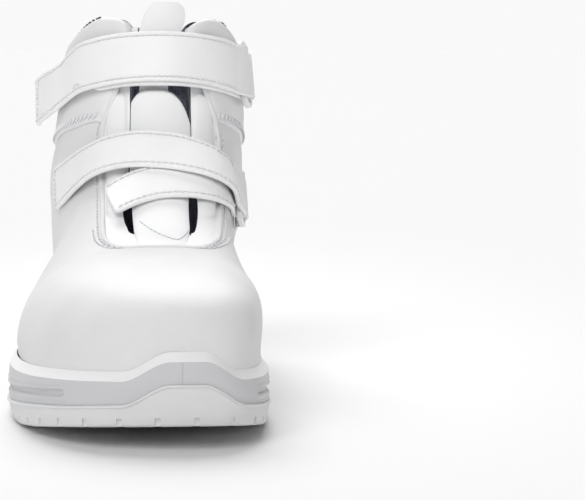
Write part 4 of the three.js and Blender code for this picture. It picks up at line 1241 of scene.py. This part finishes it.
def makeMidsole():
    whole = arc[-1]
    seams = [lengthOfShare(0.5), 0.0]
    marks = [whole * i / sole["columns"] for i in range(sole["columns"])]
    for seam in seams:
        marks += [(seam + d) % whole for d in sole["seamMarks"]]
    marks = sorted(set(round(m, 3) for m in marks))
    slots = []
    for side in (-1, 1):
        ends = [t / 2 if side < 0 else 1 - t / 2 for t in (sole["slotFrom"], sole["slotTo"])]
        slots.append(sorted(lengthOfShare(t) for t in ends))
    levels = sole["levels"]

    def sideRelief(length, rise):
        depth = 0.0
        for low, high in slots:
            away = math.hypot(length - clamp(length, low, high), rise - sole["slotRise"])
            depth += sole["slotDepth"] * (1 - smooth(away, 0.8, sole["slotWidth"] / 2 + 0.15))
            for middle, height, wide in sole["slotLips"]:
                depth -= height * (1 - smooth(abs(away - middle), 0.1, wide))
        for seam in seams:
            away = min(abs(length - seam), whole - abs(length - seam))
            depth -= sole["ridge"] * (1 - smooth(away, 0.2, 0.6))
        return depth

    def pointAt(i, j):
        length = marks[i]
        t = shareOfLength(length)
        edge = outlinePoint(t)
        hump = humpAt(edge.x, edge.y)
        bead = beadHeight(edge.y) + hump + 0.03
        rim = rimHeight(edge.y) + hump
        side = rim - sole["lip"]
        if j <= levels:
            share = j / levels
            z = lerp(bead, side, share)
            part = (z - bead) / (rim - bead)
            bulge = (0.5, 0.1, 0, 0.35) if part < 0.35 else (0.1, 0.75, 0.35, 1)
            inset = lerp(bulge[0], bulge[1], smooth(part, bulge[2], bulge[3])) + sideRelief(length, z - bead)
        else:
            k = j - levels
            lip = [
                (0.55, rim - 3.55), (0.8, rim - 3.3), (1.4, rim - 2.6), (2.0, rim - 1.85), (2.6, rim - 1.1),
                (3.05, rim - 0.5), (3.3, rim - 0.12), (3.45, rim), (3.6, rim - 0.2), (3.65, rim - 1.0),
                (3.8, rim - 4), (4.4, rim - 9), (7, bead + 1.5), (7, bead), (3, bead),
            ]
            inset, z = lip[k - 1]
        point = outlineEdge(t, inset)
        return place(point.x, point.y, z)

    # the lip's top rows take the paler foam: a painted highlight
    return gridOf(
        len(marks), levels + 16, pointAt, wrapRows=True, wrapColumns=True,
        kindAt=lambda i, j: 1 if levels < j < levels + sole["paintedHighlightRows"] else 0,
    )


# the side wall in the greyer foam is painted shade
midsoleMesh = makeMidsole()
newPiece("midsoleSide", midsoleMesh, [midsoleFoamShaded, rimFoamPaintedHighlight], ["midsole"])
print("midsole made")


def cutterBoxes():
    whole = arc[-1]
    lugs = round(whole / sole["lugPitch"])
    boxes = ([], [], [], [])
    for i in range(lugs):
        t = shareOfLength(whole * (i + 0.5) / lugs)
        point = outlinePoint(t)
        tangent = (outlinePoint((t + 1e-4) % 1) - outlinePoint((t - 1e-4) % 1)).normalized()
        if treadHeight(point.y) > 0.02 * boot["height"] and point.y < boot["soleLength"] * 0.5:
            continue
        inward = Vector((tangent.y, -tangent.x, 0))
        turn = math.atan2(-inward.y, inward.x)
        outset, length, wide, deep = sole["notch"]
        notch, groove = point - inward * outset, point + inward * (sole["lugReach"] / 2 + 2)
        boxes[0].append((notch.x, notch.y, length, turn, wide, deep))
        boxes[1 + i % 2].append(
            (groove.x, groove.y, sole["lugReach"], turn, sole["grooveWidth"], sole["groove"])
        )
    for share, half, turn in treadBars:
        along = share * boot["soleLength"]
        middle = (edgeAt(along, -1) + edgeAt(along, 1)) / 2
        across = 2 * half * boot["ballLateral"]
        boxes[3].append((middle, along, across, math.radians(turn), sole["grooveWidth"], sole["treadDepth"]))
    return boxes


def makeOutsole():
    rows, levels = 300, 16

    def sideLevels(t):
        edge = outlinePoint(t)
        tread = treadHeight(edge.y)
        bead = beadHeight(edge.y) + humpAt(edge.x, edge.y)
        middle = tread + (bead - tread) * 0.45
        neck = bead - sole["beadSize"]
        step = -sole["beadStep"]
        result = [(sole["edgeBevel"], tread), (1.5, tread + 0.5), (1.0, tread + 1.5), (0.7, middle)]
        for k in (1, 2, 3, 4, 5):
            share = k / 5
            result.append((lerp(0.7, 0.1, smooth(share, 0, 1)), lerp(middle, neck - 0.1, share)))
        result += [
            (step * 0.5, neck), (step * 0.9, neck + 0.2), (step, neck + 0.5), (step * 0.8, neck + 0.9),
            (step * 0.3, neck + 1.1), (0.4, neck + 1.12), (6, neck + 1.12),
        ]
        return result

    def pointAt(i, j):
        share = i / rows
        t = share / 2 if j < levels else (1 - share / 2) % 1
        k = j if j < levels else 2 * levels - 1 - j
        inset, z = sideLevels(t)[k]
        point = outlineEdge(t, inset)
        return place(point.x, point.y, z)

    return gridOf(rows, 2 * levels, pointAt, wrapColumns=True)


def cutTread(piece):
    for k, boxes in enumerate(cutterBoxes()):
        bm = bmesh.new()
        for x, along, length, turn, wide, deep in boxes:
            z = treadHeight(along) + deep
            at = place(x, along, z - 10)
            spot = Matrix.Translation(at) @ Matrix.Rotation(turn, 4, "Z")
            spot = spot @ Matrix.Diagonal((length, wide, 20, 1))
            bmesh.ops.create_cube(bm, size=1, matrix=spot)
        bmesh.ops.scale(bm, vec=(0.001, 0.001, 0.001), verts=bm.verts)
        mesh = bpy.data.meshes.new("cutter")
        bm.to_mesh(mesh)
        bm.free()
        cutter = bpy.data.objects.new("cutter", mesh)
        bpy.context.scene.collection.objects.link(cutter)
        cut = addModifier(piece, "BOOLEAN", operation="DIFFERENCE", solver="MANIFOLD", object=cutter)
        depsgraph = bpy.context.evaluated_depsgraph_get()
        made = bpy.data.meshes.new_from_object(piece.evaluated_get(depsgraph))
        piece.modifiers.remove(cut)
        old = piece.data
        piece.data = made
        bpy.data.meshes.remove(old)
        bpy.data.objects.remove(cutter)
        bpy.data.meshes.remove(mesh)


outsolePiece = newPiece("treadSole", makeOutsole(), [treadRubber], ["outsole"])
cutTread(outsolePiece)
outsolePiece.data.set_sharp_from_angle(angle=math.radians(40))
print("outsole made")

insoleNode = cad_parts["insole"]
insoleNode.data.materials.clear()
insoleNode.data.materials.append(insoleCover)


# Stitches: a rounded thread between two needle holes, repeated along a line on a piece; each hole is a flat
# grey dot of painted shade
stitches, holes = [], []


def stitchRow(tree, path, pitch=2.8, length=1.9, width=1.05, turn=0.0, sink=0.0, hole=0.34):
    run = [0.0]
    for a, b in zip(path, path[1:]):
        run.append(run[-1] + (b - a).length)
    count = int(run[-1] / pitch)
    for k in range(count):
        middle = pitch * (k + 0.5) + (run[-1] - count * pitch) / 2
        i = clamp(bisect_left(run, middle), 1, len(run) - 1)
        a, b = path[i - 1], path[i]
        point = a.lerp(b, (middle - run[i - 1]) / max(run[i] - run[i - 1], 1e-6))
        spot, normal, _, _ = tree.find_nearest(point)
        if spot is None or (spot - point).length > 4:
            continue
        forward = b - a
        forward = (forward - normal * forward.dot(normal)).normalized()
        if turn:
            forward.rotate(Matrix.Rotation(math.radians(turn), 3, normal))
        turned = Matrix((forward, normal.cross(forward), normal)).transposed().to_4x4()
        lying = Matrix.Translation(spot + normal * (width * 0.35 - sink)) @ turned
        stitches.append(lying @ Matrix.Diagonal((length / 2, width / 2, width * 0.42, 1)))
        # the flat grey discs at both ends are painted shade in the needle holes
        for end in (-1, 1) if hole else ():
            pricked = Matrix.Translation(spot + forward * end * (length / 2 + 0.12)) @ turned
            holes.append(pricked @ Matrix.Diagonal((hole, hole * 1.25, 0.1, 1)))


def copiesOf(segments, rings, spots):
    bm = bmesh.new()
    number = bm.verts.layers.int.new("number")
    bmesh.ops.create_uvsphere(bm, u_segments=segments, v_segments=rings, radius=1)
    count = 1
    while count < len(spots):
        made = bmesh.ops.duplicate(bm, geom=bm.verts[:] + bm.edges[:] + bm.faces[:])["geom"]
        for item in made:
            if isinstance(item, bmesh.types.BMVert):
                item[number] += count
        count *= 2
    bmesh.ops.delete(bm, geom=[v for v in bm.verts if v[number] >= len(spots)], context="VERTS")
    for v in bm.verts:
        v.co = spots[v[number]] @ v.co
    bm.verts.layers.int.remove(number)
    return bm


def onShell(across, up, tree):
    start = slopeStart + Vector((across, 0, 0)) + slopeUp * up + slopeOut * (throat["depth"] + 60)
    hit, _, _, _ = tree.ray_cast(start, -slopeOut, 120)
    return hit


def topHit(across, up, trees):
    found = [hit for hit in (onShell(across, up, tree) for tree in trees) if hit]
    return max(found, key=lambda hit: hit.dot(slopeOut)) if found else None


shellTrees = (upperTree, collarTree)


def throatPath(inset, high):
    # along the throat's edge, from the lateral side round the front to the medial side
    corners = [(x, y) for x, y in throatCorners(inset, 10) if y < high]
    left, right = [c for c in corners if c[0] < 0], [c for c in corners if c[0] >= 0]
    corners = left[::-1] + right[::-1]
    spots = []
    for (ax, ay), (bx, by) in zip(corners, corners[1:]):
        steps = max(int(math.dist((ax, ay), (bx, by)) / 1.5), 1)
        spots += [topHit(lerp(ax, bx, k / steps), lerp(ay, by, k / steps), shellTrees) for k in range(steps)]
    edge = throat["depth"] - throat["reach"] - 4
    return [spot for spot in spots if spot and onSlope(spot)[2] > edge]


def edgeRoll(path, width, height):
    # a flattened half-round bead along the folded edge
    normals = []
    for point in path:
        near = [tree.find_nearest(point) for tree in shellTrees]
        near = min((hit for hit in near if hit[0]), key=lambda hit: (hit[0] - point).length)
        normals.append(near[1])
    turns, last = 12, len(path) - 1

    def pointAt(i, j):
        forward = path[min(i + 2, last)] - path[max(i - 2, 0)]
        out = sum((normals[k] for k in range(max(i - 3, 0), min(i + 4, last + 1))), Vector()).normalized()
        side = forward.cross(out).normalized()
        angle = 2 * math.pi * j / turns
        thin = math.sqrt(clamp(min(i, last - i) / 4, 0.05, 1))
        return path[i] + side * width / 2 * math.cos(angle) * thin + out * height * math.sin(angle) * thin

    return gridOf(last, turns, pointAt, wrapColumns=True, cap=True)


# outside of the throat's edge, up to: the rolled edge and its two rows of stitches
throatSeams = {"roll": (-1.0, 42), "near": (-3.1, 12), "far": (-5.1, -52)}
newPiece("throatEdge", edgeRoll(throatPath(*throatSeams["roll"]), 2.3, 0.85), [upperLeather])
for key in ("near", "far"):
    stitchRow(upperTree, throatPath(*throatSeams[key]))


def slopeLine(spots, trees):
    # through given places on the instep's slope, across and up
    count = list(range(len(spots)))
    across, up = (cubicThrough(count, [spot[k] for spot in spots]) for k in (0, 1))
    steps = [(len(spots) - 1) * i / 40 for i in range(41)]
    line = [topHit(across(k), up(k), trees) for k in steps]
    return [point for point in line if point is not None]


# The tongue's foot is sewn down along a curve
footSeam = [
    (-9.6, -53.5), (-6.6, -58.3), (-3.7, -61.4), (0.4, -64.5), (6.5, -66.8), (10.2, -62.5), (11, -59),
]
stitchRow(tongueTree, slopeLine(footSeam, (tongueTree, facingTree)), 2.2, 1.5, 0.6)


def collarLine(share, lift, front):
    # round the heel from one side of the throat to the other
    low, high, line = -front, front - 360, []
    for k in range(121):
        around = lerp(low, high, k / 120)
        wrapped = around + 360 if around < -180 else around
        line.append(offSurface(collarAt(share, wrapped), wrapped, lift))
    return line


stitchRow(collarTree, collarLine(0.06, 1.2, 31), 3.3, 3.6, 1.1, turn=62, sink=-0.2, hole=0.2)


def strapLine(stations, share, face):
    return [alongSides([pair[face] for pair in station], share) for station in stations[strap["bare"]:]]


def stationPast(stations, distance):
    middles = [(s[2][0] + s[2][1]) / 2 for s in stations]
    run = 0.0
    for i in range(1, len(middles)):
        run += (middles[i] - middles[i - 1]).length
        if run >= distance:
            return i
    return len(middles) - 1


for spec in (topStrap, lowStrap):
    under, over = strapStations[spec["name"]]
    tree = strapTrees[spec["name"]]
    near = 0.5 - strap["stitchInset"] / spec["width"]
    for side in (-near, near):
        stitchRow(tree, strapLine(over, side, 1))
        stitchRow(tree, strapLine(under, side, 0))
    endRow = over[stationPast(over, strap["endRow"][spec["name"]])]
    across = [alongSides([pair[1] for pair in endRow], lerp(-near, near, k / 12)) for k in range(13)]
    stitchRow(tree, across, 2.3, 1.7)

# An oval bartack at the top strap's lower edge
under, over = strapStations["top"]
tack = stationPast(over, strap["tackFrom"])
middle, beside = (alongSides([pair[1] for pair in over[k]], strap["tackSide"]) for k in (tack, tack + 2))
run = (beside - middle).normalized()
rise = (alongSides([pair[1] for pair in over[tack]], 0) - middle).normalized()
tackLong, tackHigh = 2.3, 1.0
oval = [
    middle + run * tackLong * math.cos(math.radians(a)) + rise * tackHigh * math.sin(math.radians(a))
    for a in range(0, 361, 10)
]
stitchRow(strapTrees["top"], oval, 1.05, 0.95, 0.5)

# The lining's dark seam along the collar's crest
count = len(stitches)
stitchRow(collarTree, collarLine(0.995, 1.0, 38), 3.0, 2.7, 1.2, sink=-0.15, hole=0)
newPiece("liningSeam", copiesOf(8, 5, stitches[count:]), [liningAndPaintedShade])
newPiece("seamThread", copiesOf(8, 5, stitches[:count]), [sewingThread])
newPiece("paintedHoleShades", copiesOf(6, 3, holes), [paintedHoleShade])
print("stitches made")

# Studio: a pale floor, a lit backdrop, a broad light from above and behind, and a soft key from the front
studio = {
    "floor": "#EEEEEE",
    "backdrop": 0.95,
    "walls": 0.42,
    "ceiling": 0.22,
    "horizon": 0.26,  # sine of the height up to which the walls reach
    "backWidth": 0.8,  # cosine of half the backdrop's width
    # azimuth from the camera's side, height, strength, softness
    "suns": [(184, 56, 2.35, 48), (-26, 44, 1.08, 32)],
    "spot": (0.02, -1.5, 0.94),
    "spotPower": 97,
    "spotAim": (0.004, -0.07, 0.135),
    "spotWidth": 8.5,
}
# The photograph's view: lens as focal length over picture width, and where the camera stands and looks
view = {"lens": 2304 / 585, "sensor": 36, "place": (-0.00806, -1.1101, 0.155), "down": 5.26, "turn": -4}
floorMesh = bpy.data.meshes.new("studioFloor")
bm = bmesh.new()
bmesh.ops.create_grid(bm, x_segments=1, y_segments=1, size=30)
bm.to_mesh(floorMesh)
bm.free()
floor = bpy.data.objects.new("studioFloor", floorMesh)
bpy.context.scene.collection.objects.link(floor)
floorMaterial, _, _ = newMaterial("paintedFloor", studio["floor"], 0.9)
floorMesh.materials.append(floorMaterial)

world = bpy.data.worlds.new("studioWorld")
world.use_nodes = True
bpy.context.scene.world = world
sky = world.node_tree
towards = addNode(sky, "ShaderNodeTexCoord").outputs["Generated"]
split = addNode(sky, "ShaderNodeSeparateXYZ", Vector=towards).outputs
isLow = addNode(sky, "ShaderNodeMath", {"operation": "LESS_THAN", 1: studio["horizon"]}, i0=split["Z"])
isBack = addNode(sky, "ShaderNodeMath", {"operation": "GREATER_THAN", 1: studio["backWidth"]}, i0=split["Y"])
around = addNode(sky, "ShaderNodeMapRange", {3: studio["walls"], 4: studio["backdrop"]}, i0=isBack.outputs[0])
level = addNode(sky, "ShaderNodeMix", {2: studio["ceiling"]}, i0=isLow.outputs[0], i3=around.outputs[0])
sky.links.new(level.outputs[0], sky.nodes["Background"].inputs["Strength"])
sky.nodes["Background"].inputs["Color"].default_value = (1, 1, 1, 1)


def addLight(name, kind, energy, **settings):
    data = bpy.data.lights.new(name, kind)
    data.energy = energy
    for key, value in settings.items():
        setattr(data, key, value)
    light = bpy.data.objects.new(name, data)
    bpy.context.scene.collection.objects.link(light)
    return light


def turnTo(light, direction):
    light.rotation_euler = Vector(direction).to_track_quat("Z", "Y").to_euler()


for i, (azimuth, height, strength, softness) in enumerate(studio["suns"]):
    sun = addLight("softLight" + str(i), "SUN", strength, angle=math.radians(softness))
    azimuth, height = math.radians(azimuth), math.radians(height)
    reach = math.cos(height)
    turnTo(sun, (math.sin(azimuth) * reach, -math.cos(azimuth) * reach, math.sin(height)))
spot = addLight(
    "strapSpot", "SPOT", studio["spotPower"], spot_size=math.radians(studio["spotWidth"]),
    spot_blend=1, shadow_soft_size=0.2,
)
spot.location = studio["spot"]
turnTo(spot, Vector(studio["spot"]) - Vector(studio["spotAim"]))

cameraData = bpy.data.cameras.new("photoCamera")
cameraData.sensor_width = view["sensor"]
cameraData.lens = view["lens"] * view["sensor"]
cameraData.clip_start = 0.01
camera = bpy.data.objects.new("photoCamera", cameraData)
bpy.context.scene.collection.objects.link(camera)
camera.location = view["place"]
camera.rotation_euler = (math.radians(90 - view["down"]), 0, math.radians(view["turn"]))
bpy.context.scene.camera = camera
bpy.context.scene.view_settings.view_transform = "Standard"
